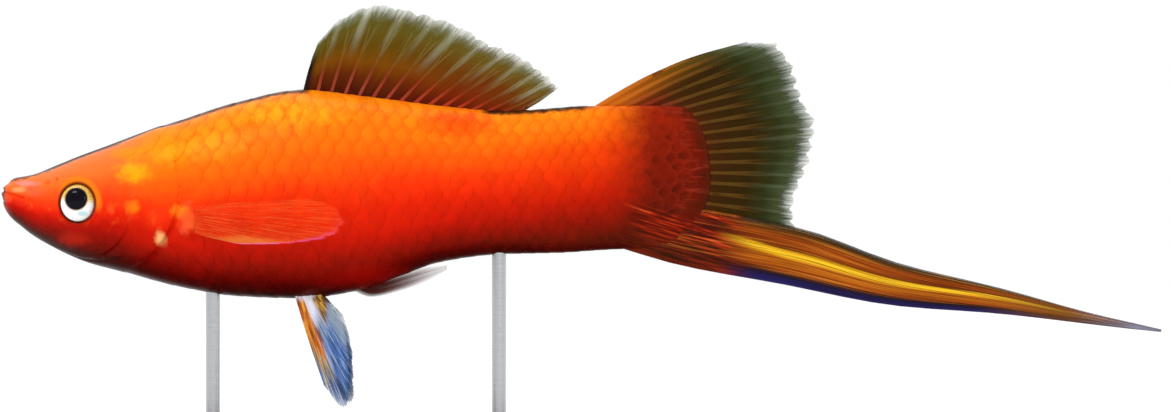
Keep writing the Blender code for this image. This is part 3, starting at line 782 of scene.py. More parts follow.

# Patches on the flanks: middle (u, h), radii along and up, colour and strength. Most are the fish's own
# markings; some are painted highlights, marked below.
PATCHES = (
    ((13.7, 2.4), (2.5, 1.5), (252, 168, 12), 0.9),
    ((13.0, 4.4), (2.6, 1.0), (250, 150, 18), 0.7),
    ((17.0, 4.4), (3.4, 1.9), (252, 158, 14), 0.7),
    ((21.5, 5.4), (4.5, 2.6), (252, 160, 20), 0.6),
    ((29.5, 8.4), (7.5, 2.0), (252, 170, 24), 0.7),
    ((36.0, -7.8), (6.5, 1.9), (156, 8, 3), 0.75),
    ((7.5, -4.2), (2.6, 1.1), (232, 44, 18), 0.35),
    ((16.0, -2.0), (1.8, 1.6), (242, 52, 16), 0.6),
    # Painted highlight: a pink streak on the tail near the skin's rear arc.
    ((69.2, 0.4), (1.6, 0.35), (236, 104, 84), 0.8),
    ((13.5, -1.0), (1.0, 0.9), (252, 122, 16), 0.9),
    ((11.4, -1.2), (0.6, 0.9), (252, 92, 30), 0.5),
    ((18.3, -1.4), (1.3, 1.0), (252, 128, 22), 0.95),
    ((19.2, -2.4), (1.6, 1.7), (250, 92, 40), 0.8),
    # Painted highlight: a whitish spot on the rear edge of the gill cover.
    ((16.3, -4.1), (0.85, 1.15), (252, 186, 116), 0.9),
    ((18.9, -3.1), (0.7, 1.1), (250, 90, 48), 0.7),
    # Pink of the upper lip with a painted highlight along the top of the snout (this line and the next).
    ((1.9, 0.75), (1.1, 0.45), (250, 158, 100), 0.9),
    ((2.7, 1.35), (1.7, 0.45), (236, 150, 150), 0.65),
    ((3.6, 0.6), (1.5, 0.8), (244, 96, 70), 0.6),
    ((8.6, -3.1), (2.4, 0.7), (170, 8, 4), 0.5),
    ((45.6, 7.3), (5.4, 2.2), (240, 64, 6), 0.75),
)
PATCH_WANDER = 1.2
WARM_GLOSS = tint(255, 170, 110)
DARK_GLOSS = tint(220, 190, 140)


def skin_colour(paint):
    """Orange back and red flank, with painted light on the back and painted shade that darkens it to near
    black at the belly, the head's and tail's own markings and a few painted highlights.
    """
    place, along = paint.place(), paint["along"]
    broad, mottle, speck = place.noise(0.35), place.noise(1.1, 4.0, 0.6), place.noise(4.5, 2.0)
    rise = paint["rise"] + ((mottle - 0.5) * 0.09 + (broad - 0.5) * 0.08)
    rise = rise + along.between(38.0, 24.0) * rise.between(0.3, 0.6) * 0.06
    # Colour by rise: the fish's own colours with painted light on the back and painted shade towards the
    # belly.
    colour = rise.ramp(FLANK).mix(along.between(42.0, 60.0), rise.ramp(STALK))
    colour = colour.mix(along.between(17.5, 10.5), rise.ramp(HEAD))
    for middle, radii, shade, strength in PATCHES:
        away = paint.from_middle(middle, radii)[2] + (mottle - 0.5) * PATCH_WANDER
        colour = colour.mix(away.between(1.0, 0.15) * strength, shade)
    colour = blotches(paint, colour, rise)
    tail = along + (mottle - 0.5) * 3.5
    colour = colour.mix(tail.between(57.5, 62.0) * 0.6, rise.ramp(TAIL_TURN))
    colour = colour.mix(tail.between(60.0, 65.5), rise.ramp(TAIL_ROOT))
    colour = colour.mix(speck.between(0.60, 0.70) * 0.22, (196, 20, 4))
    colour = sword_root_colour(paint, colour)
    return skin_end_colour(paint, colour, mottle), mottle, speck


def blotches(paint, colour, rise):
    """Light red blotches on the gill cover, and orange dapples along the upper flank."""
    along = paint["along"]
    blotch = paint.place().noise(0.8, 2.0, 0.5, 0.6).between(0.50, 0.72) * along.between(19.0, 15.0)
    blotch = blotch * (rise.between(0.25, 0.6) * rise.between(0.85, 0.65))
    dapple = paint.place((1.3, 1.0, 0.8)).noise(0.9, 2.0, 0.5, 0.5)
    dapple = dapple.between(0.42, 0.72) * rise.between(0.62, 0.85)
    shown = along.between(58.0, 40.0) * along.between(12.0, 19.0)
    return colour.mix(blotch * 0.8, (248, 84, 24)).mix(dapple * shown * 0.45, (244, 104, 10))


def skin_end_colour(paint, colour, mottle):
    """Dark maroon with paler stems of rays, where the skin ends over the tail fin."""
    along, height = paint["along"], paint["height"]
    last = paint["to_end"] + (mottle - 0.5) * 2.4
    above = height.between(-2.2, -0.6)
    ahead = last.between(3.4, 0.6) * above
    stem = paint.vector(along * 0.35, height * 2.4).noise(1.0)
    colour = colour.mix(ahead * 0.6, (86, 14, 5))
    colour = colour.mix(ahead * stem.between(0.50, 0.64) * 0.7, (156, 50, 32))
    return colour.mix(last.between(1.5, 0.2) * above * 0.8, (66, 18, 5))


def sword_root_colour(paint, colour, shown=None):
    """Red and dark streaks where the sword's rays leave the tail."""
    start_u, start_h, slope = SWORD_LINE
    along = paint["along"]
    below = (along - start_u) * slope + start_h - paint["height"]
    streak = paint.vector(along * 0.2, below * 3.3).noise(1.0, 3.0, 0.6)
    shade = streak.ramp(SWORD_STREAKS).mix(below.between(1.4, 3.4), streak.ramp(DEEP_STREAKS))
    if shown is None:
        shown = along.between(61.5, 65.0) * below.between(-0.35, 0.35)
    return colour.mix(shown, shade)


def orbit_colour(paint, colour):
    """Orange ring above and behind the eye, and a dark line close round it."""
    across, up, ratio = paint.from_middle(EYE, EYE_RADII[::2])
    ring = ratio.between(1.0, 1.12) * ratio.between(1.5, 1.25)
    leaning = (up + across * 0.5).between(-0.1, 0.7)
    colour = colour.mix(ring * leaning * 0.85, (240, 124, 16))
    dark = ratio.between(1.16, 1.02) * ratio.between(0.6, 0.8)
    return colour.mix(dark * 0.85, (70, 24, 8))


def ridge_line(paint, colour, raised=0.0):
    """Soft dark line along the ridge of the back, free under the dorsal fin, dusky lips, and painted shade
    under the jaw.
    """
    along, rise = paint["along"], paint["rise"]
    rough = paint.place().noise(1.6) - 0.5
    start, end = DORSAL_ROOT
    beside_fin = along.between(start + 1.0, start).math("MAXIMUM", along.between(end - 1.6, end - 0.4))
    shown = along.between(60.0, 57.5) * beside_fin
    below = paint["below_back"] + raised + rough * 0.25 - along.between(7.0, 1.0) * 0.12
    aside = paint["aside"] + rough * 1.2
    soft = shown * (below.between(0.46, 0.14) * aside.between(1.7, 0.9)) * 0.8
    lips = along.between(0.65, 0.20) * 0.85
    # Painted shade: the underside of the jaw darkened to near black.
    painted_jaw_shade = rise.between(0.08, 0.03) * along.between(9.0, 5.0)
    colour = colour.mix(soft.math("MAXIMUM", lips.math("MAXIMUM", painted_jaw_shade)), (36, 15, 8))
    core = aside.between(0.9, 0.25) * shown * rise.between(0.8, 0.9)
    return colour.mix(core * 0.9, (18, 10, 8))


def skin_paint():
    paint = Paint("skin", Roughness=0.34, Specular_IOR_Level=0.14, Specular_Tint=WARM_GLOSS)
    paint.set(Subsurface_Weight=0.05, Subsurface_Radius=(1.0, 0.35, 0.2), Subsurface_Scale=0.0006)
    colour, _, speck = skin_colour(paint)
    paint.set(Base_Color=orbit_colour(paint, ridge_line(paint, colour)))
    pores = paint.node("ShaderNodeTexVoronoi", {"Vector": paint.place(), "Scale": 5.0}, "Distance")
    paint.bump(pores * 0.6 + speck * 0.5, 0.02, 0.35)
    return paint


def scale_paint():
    """Same colours as the skin, its painted light, shade and highlights included, with a darker margin and
    fine growth rings on each scale.
    """
    paint = Paint("scales", Roughness=0.33, Specular_IOR_Level=0.16, Specular_Tint=WARM_GLOSS)
    colour, mottle, speck = skin_colour(paint)
    margin, along = paint["margin"], paint["along"]
    strength = (paint["rise"].between(0.45, 0.85) * 0.14 + 0.06) * (mottle * 1.6 + 0.2)
    edge = margin.between(0.50, 1.0)
    colour = colour.mix(edge * (strength * along.between(14.0, 21.0)), (226, 60, 2), "MULTIPLY")
    tail = (along + mottle * 3.0).between(64.0, 68.5)
    dots = paint.place().noise(0.8, 1.0).between(0.42, 0.60)
    colour = colour.mix(tail * dots * margin.between(0.95, 0.10) * 0.6, (58, 8, 3))
    colour = colour.mix(tail * edge * (mottle * 0.22), (166, 50, 26))
    value = (paint["own"] - 0.5) * 0.14 + 1.0
    colour = paint.node("ShaderNodeHueSaturation", {"Color": colour, "Value": value, "Hue": 0.5})
    paint.set(Base_Color=ridge_line(paint, colour, SCALE_LIFT[1]))
    rings = (margin * 42.0).math("SINE")
    paint.bump(rings * 0.25 + speck, 0.012, 0.35)
    return paint


DORSAL_FRONT = (
    (0.00, (96, 12, 2)), (0.12, (64, 12, 2)), (0.28, (92, 34, 2)), (0.42, (114, 64, 2)),
    (0.58, (92, 66, 6)), (0.80, (88, 80, 26)), (1.00, (128, 140, 110)),
)
DORSAL_REAR = (
    (0.00, (140, 18, 2)), (0.15, (88, 14, 2)), (0.35, (112, 32, 2)), (0.60, (104, 50, 4)),
    (0.80, (98, 80, 24)), (1.00, (130, 140, 106)),
)
CAUDAL_WEB = (
    (0.00, (96, 16, 5)), (0.20, (88, 18, 4)), (0.34, (62, 28, 4)), (0.50, (46, 28, 3)),
    (0.62, (42, 28, 3)), (0.76, (38, 44, 16)), (0.90, (62, 74, 46)), (1.00, (112, 128, 106)),
)
CAUDAL_TOP = (
    (0.00, (214, 102, 12)), (0.25, (160, 78, 10)), (0.50, (100, 66, 8)), (0.75, (66, 62, 24)),
    (1.00, (112, 128, 104)),
)
SWORD_COLOURS = (
    (0.00, (62, 52, 34)), (0.07, (96, 56, 14)), (0.15, (154, 66, 8)), (0.27, (140, 56, 6)),
    (0.315, (112, 60, 6)), (0.345, (238, 178, 26)), (0.40, (248, 208, 44)), (0.455, (226, 158, 22)),
    (0.50, (164, 88, 10)), (0.60, (184, 98, 16)), (0.74, (150, 64, 12)), (0.80, (84, 34, 16)),
    (0.85, (24, 14, 40)), (0.89, (18, 14, 66)), (1.00, (30, 26, 90)),
)
PELVIC_COLOURS = (
    (0.00, (255, 250, 255)), (0.20, (232, 234, 250)), (0.36, (152, 168, 200)),
    (0.55, (66, 112, 180)), (0.85, (38, 94, 172)), (1.00, (62, 118, 190)),
)
PELVIC_FRONT = ((0.36, (120, 58, 18)), (0.48, (190, 92, 22)), (0.60, (238, 168, 60)))
GONOPODIUM_COLOURS = (
    (0.05, (58, 5, 4)), (0.35, (84, 30, 27)), (0.65, (112, 74, 70)), (1.00, (164, 136, 132)),
)
WOOD_GRAIN = ((0.30, (34, 16, 8)), (0.48, (70, 36, 18)), (0.62, (98, 54, 27)), (0.80, (52, 25, 12)))
FIN_STREAK = (150, 120, 70)


class FinPaint(Paint):
    """Material of a fin's web or rays, with streaks that run along the rays."""

    def __init__(self, name, rays, fine=26.0, **plain):
        super().__init__(name + ("_rays" if rays else "_web"), **plain)
        self.t, self.v = self["t"], self["v"]
        self.broad = self.vector(self.t * 1.6, self.v * fine).noise(1.0)
        self.narrow = self.vector(self.t * 4.0, self.v * (fine * 4)).noise(1.0)

    def frayed(self, start, end, low):
        """Opacity that frays towards the fin's edge along its streaks."""
        edge = self.t + (self.narrow - 0.5) * 0.18
        return edge.between(end, start) * (1.0 - low) + low

    def pale_streaks(self, count, start):
        """Soft pale streaks between the branched rays, in the outer part of a fin."""
        wander = self.vector(self.t * 1.2, self.v * count).noise(0.6, 2.0)
        turn = self.v * (count * 2 * math.pi) + wander * 5.0
        wave = turn.math("SINE") + (wander - 0.5) * 2.0
        return wave.between(0.3, 1.25) * (self.t + wander * 0.3).between(start + 0.10, start + 0.60)

    def finished(self, colour, alpha=None):
        """The paint with its colour, opacity, fine ridges and the joints of the rays."""
        self.set(Base_Color=colour)
        if alpha is not None:
            self.set(Alpha=alpha)
        joints = (self["run"] * (math.pi / JOINT_SPACING)).math("SINE").math("ABSOLUTE")
        self.bump(self.narrow + joints * 0.3, 0.03, 0.5)
        return self


def dorsal_paint(rays):
    """Maroon root with pink rays, an orange brown band, and an olive zone with pale streaks."""
    paint = FinPaint("dorsal", rays, Roughness=0.45, Specular_IOR_Level=0.12, Specular_Tint=DARK_GLOSS)
    t, v = paint.t, paint.v
    shifted = t + (paint.broad - 0.5) * 0.22
    rear = v.between(0.25, 0.70)
    colour = shifted.ramp(DORSAL_FRONT).mix(rear, shifted.ramp(DORSAL_REAR))
    if rays:
        colour = colour.mix(t.between(0.50, 0.12) * 0.8, paint.mix(rear, (156, 66, 46), (178, 60, 32)))
        colour = colour.mix(t.between(0.3, 0.6) * 0.25, (128, 118, 66))
    pale = paint.pale_streaks(11.0, 0.45)
    colour = colour.mix(pale * 0.6, (158, 160, 124))
    colour = colour.mix(v.between(0.035, 0.0) * t.between(0.85, 0.5), (30, 16, 14))
    colour = colour.mix(paint.narrow.between(0.45, 0.70) * 0.3, FIN_STREAK, "SOFT_LIGHT")
    alpha = None if rays else (1.0 - pale * 0.30) * paint.frayed(0.80, 1.03, 0.03)
    return paint.finished(colour, alpha)


def caudal_paint(rays):
    """Dark brown web with lighter rays, olive further out and a grey green feathered edge."""
    paint = FinPaint("tail", rays, Roughness=0.45, Specular_IOR_Level=0.12, Specular_Tint=DARK_GLOSS)
    t = paint.t
    shifted = t + (paint.broad - 0.5) * 0.16
    colour, top = shifted.ramp(CAUDAL_WEB), shifted.ramp(CAUDAL_TOP)
    if rays:
        lighter = paint.mix(t.between(0.42, 0.18), (90, 62, 20), (132, 42, 20))
        colour = colour.mix(t.between(0.78, 0.50) * 0.8, lighter)
        top = top.mix(t.between(0.8, 0.3) * 0.5, (196, 112, 34))
    colour = colour.mix((paint.v + t * 0.10).between(0.22, 0.05), top)
    colour = colour.mix(paint.pale_streaks(17.0, 0.60) * 0.28, (122, 134, 106))
    colour = colour.mix(paint.narrow.between(0.45, 0.70) * 0.3, FIN_STREAK, "SOFT_LIGHT")
    return paint.finished(colour, None if rays else paint.frayed(0.84, 1.03, 0.03))


def sword_paint(rays):
    """Gold stripe between orange brown bands, a navy lower margin and a grey blue tip."""
    paint = FinPaint("sword", rays, 14.0, Roughness=0.36, Specular_IOR_Level=0.18, Specular_Tint=DARK_GLOSS)
    narrow, along, band = paint.narrow, paint["along"], paint["band"]
    colour = (band + (paint.broad - 0.5) * 0.05).ramp(SWORD_COLOURS)
    colour = sword_root_colour(paint, colour, (along + narrow * 4.0).between(77.5, 73.0))
    colour = colour.mix(along.between(96.0, 108.0) * 0.75, (120, 78, 34))
    colour = colour.mix(along.between(106.0, 114.5), (132, 134, 156))
    colour = colour.mix(narrow.between(0.46, 0.60) * 0.75, (120, 74, 40), "MULTIPLY")
    colour = colour.mix(narrow.between(0.44, 0.36) * band.between(0.84, 0.78) * 0.35, (236, 150, 50))
    upper = (paint.v + (narrow - 0.5) * 0.12).between(0.0, 0.06)
    return paint.finished(colour, upper * 0.4 + 0.6)


def pectoral_paint(rays):
    """Clear orange red, with a gold lower edge and a painted violet sheen in a narrow band round the rear."""
    paint = FinPaint("pectoral", rays, Roughness=0.32, Specular_IOR_Level=0.16, Specular_Tint=WARM_GLOSS)
    t, v, narrow = paint.t, paint.v, paint.narrow
    light = (255, 118, 56) if rays else (252, 96, 38)
    colour = paint.mix(narrow.between(0.35, 0.65), (246, 60, 16), light)
    gold = v.between(0.50, 0.72) * t.between(0.40, 0.75)
    colour = colour.mix(gold * 0.75, (244, 146, 62))
    # Painted sheen: a narrow violet pink band round the rear edge, more opaque than the rest of the fin.
    reach = t + (paint.broad - 0.5) * 0.12 + v * 0.05
    pink = v.between(0.15, 0.50) * v.between(0.98, 0.85) * reach.between(0.90, 1.0)
    colour = colour.mix(pink * 0.85, (226, 88, 160))
    clear = narrow.between(0.45, 0.65) * 0.15 + (0.20 if rays else 0.12) + (pink + gold * 0.5) * 0.6
    return paint.finished(colour, clear * t.between(0.0, 0.14) * paint.frayed(0.95, 1.2, 0.5))


def pelvic_paint(rays):
    """White root, ragged orange front edge, blue middle and a pale clear rear edge."""
    paint = FinPaint("pelvic", rays, 12.0, Roughness=0.36, Specular_IOR_Level=0.16)
    t, v, broad, narrow = paint.t, paint.v, paint.broad, paint.narrow
    colour = (t + (broad - 0.5) * 0.35).ramp(PELVIC_COLOURS)
    colour = colour.mix(narrow.between(0.50, 0.66) * 0.6, (190, 206, 226))
    colour = colour.mix(narrow.between(0.52, 0.40) * t.between(0.2, 0.4) * 0.8, (62, 66, 78))
    rear = v.between(0.60, 0.88) * t.between(0.30, 0.55)
    colour = colour.mix(rear * 0.85, (172, 188, 204))
    golden = paint.mix(narrow.between(0.44, 0.56), (104, 66, 26), (216, 164, 70))
    colour = colour.mix(v.between(0.50, 0.70) * t.between(0.48, 0.36) * t.between(0.05, 0.15), golden)
    front = (v + (narrow - 0.5) * 0.25).between(0.36, 0.24) * t.between(0.03, 0.12)
    lower = paint.mix(narrow.between(0.4, 0.6), (112, 100, 86), (186, 176, 156))
    edge = narrow.ramp(PELVIC_FRONT).mix((t + broad).between(0.95, 1.15), lower)
    colour = colour.mix(front * (t + broad).between(1.40, 1.20), edge)
    fade = 1.0 - rear * (v.between(0.8, 1.0) * 0.4 + 0.35) - front * t.between(0.5, 0.8) * 0.4
    return paint.finished(colour, fade * paint.frayed(0.84, 1.06, 0.3 if rays else 0.15))


def gonopodium_paint(rays):
    """Dark red at the body, then a dusky and half clear blade."""
    paint = FinPaint("gonopodium", rays, Roughness=0.42, Specular_IOR_Level=0.12, Specular_Tint=DARK_GLOSS)
    t, v = paint.t, paint.v
    colour = t.ramp(GONOPODIUM_COLOURS).mix(paint.narrow.between(0.4, 0.65) * 0.2, (56, 20, 20))
    thick, lost = (0.5, 0.44) if rays else (0.95, 0.78)
    rim = v.between(0.0, 0.2) * v.between(1.0, 0.8)
    return paint.finished(colour, (thick - t.between(0.15, 1.0) * lost) * (rim * 0.65 + 0.35))


def eye_paint():
    """Iris, silver below and gold above, with fine spokes, in a dark outer rim."""
    paint = Paint("iris", Roughness=0.25, Specular_IOR_Level=0.3, Coat_Weight=0.5, Coat_Roughness=0.03)
    across, up, away = paint.from_middle(PUPIL, (1.0, 1.0))
    spokes = paint.vector(up.math("ARCTAN2", across) * 7.0, away * 1.2).noise(2.0)
    gold = paint.mix(spokes.between(0.3, 0.7), (214, 150, 30), (250, 222, 120))
    silver = paint.mix(spokes.between(0.3, 0.7), (232, 236, 236), (255, 255, 252))
    colour = silver.mix((up + across * 0.12).between(-0.55, 0.25), gold)
    cyan = paint.from_middle((8.55, -1.65), (0.75, 0.38))[2].between(1.0, 0.15)
    colour = colour.mix(cyan * 0.8, (160, 214, 224))
    colour = colour.mix(paint["ratio"].between(0.90, 0.97), (52, 26, 14))
    paint.set(Base_Color=colour.mix(away.between(1.25, 1.12) * 0.7, (150, 104, 30)))
    paint.bump(spokes, 0.03, 0.5)
    return paint


def pupil_paint():
    paint = Paint("pupil", Roughness=0.06, Specular_IOR_Level=0.10)
    paint.set(Base_Color=paint.mix(paint.place().noise(1.6), (5, 4, 8), (16, 10, 26)))
    return paint


def wood_paint():
    paint = Paint("stained_wood", IOR=1.5, Coat_Weight=0.45, Coat_Roughness=0.12)
    grain = paint.place((0.05, 0.55, 0.55)).noise(1.0, 6.0, 0.62, 1.4)
    pores = paint.place((0.25, 4.0, 4.0)).noise(1.0)
    paint.set(Base_Color=grain.ramp(WOOD_GRAIN).mix(pores.between(0.60, 0.72) * 0.6, (18, 9, 5)))
    paint.set(Roughness=grain * 0.2 + 0.30)
    paint.bump(grain + pores * -0.6, 0.05, 0.3)
    return paint


def steel_paint():
    paint = Paint("brushed_steel", Metallic=1.0, IOR=2.5, Anisotropic=0.5)
    rings = paint.place((0.4, 0.4, 22.0)).noise(1.0)
    paint.set(Base_Color=paint.mix(rings, (168, 170, 174), (204, 206, 209)))
    paint.set(Roughness=rings * 0.16 + 0.22)
    paint.bump(rings, 0.01, 0.4)
    return paint


def floor_paint():
    paint = Paint("pale_floor", Roughness=0.75, IOR=1.35, Emission_Strength=FLOOR_GLOW)
    paint.set(Emission_Color=(1.0, 1.0, 1.0, 1.0))
    grain = paint.place().noise(0.02, 2.0)
    paint.set(Base_Color=paint.mix(grain, (236, 236, 235), (240, 240, 239)))
    return paint


# Pieces.


def make_skin(skin, paint):
    rows, columns = len(skin.u), GRID_COLUMNS
    body = skin.points[:, :columns].reshape(-1, 3)
    poles = [[0.0, 0.0, SNOUT_LEVEL], [SKIN_END, float(sweep(SKIN_END)), TAIL_LEVEL]]
    points = np.concatenate([body, poles])
    front, rear, last = len(body), len(body) + 1, (rows - 1) * columns
    faces = ring_faces(rows, columns).tolist()
    for k in range(columns):
        following = (k + 1) % columns
        faces.append([front, following, k])
        faces.append([rear, last + k, last + following])
    obj = new_piece("skin", points, faces, paint, body_values(points), sharp=None)
    place_skin_map(obj.data, skin)
    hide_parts("head", "lower_jaw", "trunk", "tail_stalk")
    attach(obj, "root")


def unwrapped(u, around):
    """Place on the bake's map: along the body, and round it from the belly to the belly again."""
    return 0.01 + 0.98 * np.stack([u / SKIN_END, (around + 1) / 2], axis=-1)


def corner_points(mesh):
    """Index of the point at each corner of each face."""
    corners = np.zeros(len(mesh.loops), np.int32)
    mesh.loops.foreach_get("vertex_index", corners)
    return corners


def set_map(mesh, spots):
    mesh.uv_layers.new(name="OFBake").uv.foreach_set("vector", spots.astype(np.float32).ravel())


def place_skin_map(mesh, skin):
    """The skin's own unwrap, cut along the belly. The poles take the place of their neighbours."""
    corners = corner_points(mesh)
    sizes = np.zeros(len(mesh.polygons), np.int32)
    mesh.polygons.foreach_get("loop_total", sizes)
    u = np.concatenate([np.repeat(skin.u, GRID_COLUMNS), [0.0, SKIN_END]])[corners]
    column = np.concatenate([np.tile(np.arange(GRID_COLUMNS), len(skin.u)), [-1, -1]])[corners]
    start = np.concatenate([[0], np.cumsum(sizes)[:-1]])
    widest = np.repeat(np.maximum.reduceat(column, start), sizes)
    past_cut = (column == 0) & (widest == GRID_COLUMNS - 1)
    column = np.where(past_cut, GRID_COLUMNS, column)
    column = np.where(column < 0, widest - 0.5, column)
    set_map(mesh, unwrapped(u, 2 * column / GRID_COLUMNS - 1))


def scale_middles():
    """Row, place around, u and pitch of each scale. Neighbouring rows are half a pitch apart."""
    places = []
    u, index = SCALE_START, 0
    while u < SKIN_END - SCALE_END_GAP:
        share = (u - SCALE_START) / (SKIN_END - SCALE_START)
        pitch = SCALE_PITCH[0] + (SCALE_PITCH[1] - SCALE_PITCH[0]) * share
        for row in range(1 - SCALE_ROWS, SCALE_ROWS + 1):
            if (row + index) % 2 == 0:
                places.append((row, row / SCALE_ROWS, u, pitch))
        u += pitch / 2
        index += 1
    return np.array(places)


def keep_scale(skin, places):
    """Scales lie behind the gill cover and on the nape, and leave the dorsal fin's root free."""
    rows, around, u = places[:, 0], places[:, 1], places[:, 2]
    h = skin.at(u, around, skin.points)[:, 2]
    behind = behind_gill(u, h) > GILL_GAP
    nape = (u > NAPE[0]) & (h > NAPE[1])
    start, end = DORSAL_ROOT
    free = (rows != 0) | (u < start - DORSAL_GAPS[0]) | (u > end + DORSAL_GAPS[1])
    inside_end = u < skin_end(h) - SKIN_END_GAP
    pad = (np.abs(h - PAD[1]) < PAD_GAPS[0]) & (u > PAD[0] - PAD_GAPS[1]) & (u < PAD[0] + PAD_GAPS[2])
    sword = (u > SWORD_GAP[0]) & (below_sword_line(u, h) > SWORD_GAP[1])
    return (behind | nape) & free & inside_end & ~pad & ~sword


def scale_lift(disc_x, disc_y, u, normals):
    """Height of a scale over the skin: its rear is raised, less so on the back, belly and ends."""
    low, high = SCALE_LIFT
    lift = low + (high - low) * (disc_x + 1) / 2 + SCALE_CAMBER * (1 - disc_y**2)
    facing = 0.4 + 0.6 * np.abs(normals[..., 1])
    tail = 1 - TAIL_FLATTENING * ease((u - 58) / 8)
    head = 1 - HEAD_FLATTENING * ease((19 - u) / 6)
    return lift * facing * tail * head


def make_scales(skin, paint):
    """Thin overlapping plates, each wrapped on the skin with its rear edge raised."""
    rng = np.random.default_rng(SEED)
    places = scale_middles()
    places = places[keep_scale(skin, places)]
    row = places[:, 0]
    groups = {
        "scales_left": places[row < 0],
        "scales_right": places[(row > 0) & (row < SCALE_ROWS)],
        "scales_middle": places[(row == 0) | (row == SCALE_ROWS)],
    }
    line = np.linspace(-1, 1, SCALE_CELLS + 1)
    x, y = np.meshgrid(line, line, indexing="ij")
    disc_x, disc_y = x * np.sqrt(1 - y * y / 2), y * np.sqrt(1 - x * x / 2)
    thick = SCALE_THICKNESS * (1 - SCALE_THINNING * np.maximum(np.abs(x), np.abs(y)) ** 4)
    margin = np.where(disc_x > 0, np.hypot(disc_x, disc_y), np.abs(disc_y))
    faces = sheet_faces(line.size, line.size)
    for name, group in groups.items():
        count = len(group)
        jitter = rng.uniform(-1, 1, (count, 3))
        own = rng.uniform(0, 1, count)
        shift, grow, rise = (jitter * SCALE_JITTER).T[:, :, None, None]
        around, u, pitch = group.T[1:, :, None, None]
        u = u + shift
        girth = skin.at(u, around * 0.999, skin.girth)
        length = SCALE_HALF_LENGTH * pitch * (1 + grow)
        width = SCALE_HALF_WIDTH * girth / SCALE_ROWS * (1 + grow)
        spot_u = u + disc_x * length
        spot_around = (around + disc_y * width / girth + 1) % 2 - 1
        held = np.minimum(spot_u, SKIN_END - 0.5)
        points = skin.at(held, spot_around, skin.points)
        points[..., 0] += spot_u - held
        normals = skin.at(held, spot_around, skin.normals)
        normals /= np.linalg.norm(normals, axis=-1, keepdims=True)
        lift = scale_lift(disc_x, disc_y, spot_u, normals) * (1 + rise)
        front = points + normals * (lift + thick / 2)[..., None]
        back = points + normals * (lift - thick / 2)[..., None]
        both = np.stack([front, back], axis=1).reshape(-1, 3)
        size = 2 * line.size**2
        values = body_values(both)
        values["margin"] = np.tile(margin.ravel(), 2 * count)
        values["own"] = np.repeat(own, size)
        obj = new_piece(name, both, repeated(faces, count, size).tolist(), paint, values)
        place_bake_patches(obj.data, u.ravel(), around.ravel(), disc_x, disc_y)
        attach(obj, "root")


def place_bake_patches(mesh, u, around, disc_x, disc_y):
    """One small patch of the bake's map for each scale, at its root's place on the unwrapped skin."""
    local = np.stack([disc_x.ravel(), disc_y.ravel()], axis=-1) * BAKE_PATCH / 2
    spots = unwrapped(u, around)[:, None] + np.concatenate([local, local])
    set_map(mesh, spots.reshape(-1, 2)[corner_points(mesh)])


# Fins. Each place function gives points at t, from root to tip, and v, from the first ray to the last.


def outward(start, end, share):
    """u and h of places a share of the way from one place to another."""
    return start[0] + (end[0] - start[0]) * share, start[1] + (end[1] - start[1]) * share


def dorsal_place(t, v):
    start, end = DORSAL_ROOT
    root_u = start + (end - start) * v
    root = root_u, section(root_u)[0] - FIN_SINK
    u, h = outward(root, curve_through(DORSAL_TIP, 1 - (1 - v) ** DORSAL_LEAN), t)
    bow = DORSAL_BOW * np.sin(math.pi * t) * (1 - 2 * v)
    return np.stack([u, ripple(t, v, DORSAL_RIPPLE), h + bow], axis=-1)


def caudal_place(t, v):
    u, h = outward(curve_through(CAUDAL_ROOT, v), curve_through(CAUDAL_TIP, v), t)
    bow = CAUDAL_BOW * np.sin(math.pi * t) * (1 - v) ** 4
    return np.stack([u, sweep(u) + ripple(t, v, CAUDAL_RIPPLE), h + bow], axis=-1)


def sword_place(t, v):
    u, h = outward(curve_through(SWORD_UPPER, t), curve_through(SWORD_LOWER, t), v)
    return np.stack([u, sweep(u), h], axis=-1)


def gonopodium_place(t, v):
    u, h = outward(curve_through(GONOPODIUM_LOWER, t), curve_through(GONOPODIUM_UPPER, t), v)
    return np.stack([u, np.zeros_like(u), h], axis=-1)


def pectoral_place(side):
    def place(t, v):
        root = curve_through(PECTORAL_ROOT, v)
        u, h = outward(root, curve_through(PECTORAL_TIP, v), t)
        out = PECTORAL_OUT + PECTORAL_KNUCKLE * (1 - np.exp(-t / PECTORAL_KNUCKLE_REACH))
        out = out + (u - root[0]) * math.tan(PECTORAL_FLARE) + PECTORAL_CUP * np.sin(math.pi * v) * t
        return np.stack([u, side * out, h], axis=-1)

    return place


def pelvic_place(side):
    def place(t, v):
        u, h = outward(curve_through(PELVIC_ROOT, v), curve_through(PELVIC_TIP, v), t)
        bow = PELVIC_BOW * np.sin(math.pi * t) * (1 - v)
        out = PELVIC_OUT + (PELVIC_ROOT[0][1] - h) * math.tan(PELVIC_SPLAY) + PELVIC_TWIST * v * t
        return np.stack([u - bow, side * out, h], axis=-1)

    return place


def fin_frames(place, t, v):
    """Middle surface of a fin, and its unit vectors across the rays and out of the fin."""
    later, earlier = np.clip(t + FRAME_STEP, 0, 1), np.clip(t - FRAME_STEP, 0, 1)
    beyond, before = np.clip(v + FRAME_STEP, 0, 1), np.clip(v - FRAME_STEP, 0, 1)
    run = place(later, v) - place(earlier, v)
    run /= np.linalg.norm(run, axis=-1, keepdims=True)
    normal = np.cross(run, place(t, beyond) - place(t, before))
    normal /= np.maximum(np.linalg.norm(normal, axis=-1, keepdims=True), 1e-9)
    return place(t, v), np.cross(normal, run), normal


def stripe_band(u, v):
    """Share across the sword, bent so that the gold stripe keeps one value along its wavy way."""
    stripe = smooth_through(*zip(*SWORD_STRIPE), u)
    low = v * SWORD_STRIPE_LEVEL / stripe
    high = 1 - (1 - v) * (1 - SWORD_STRIPE_LEVEL) / (1 - stripe)
    return np.where(v < stripe, low, high)


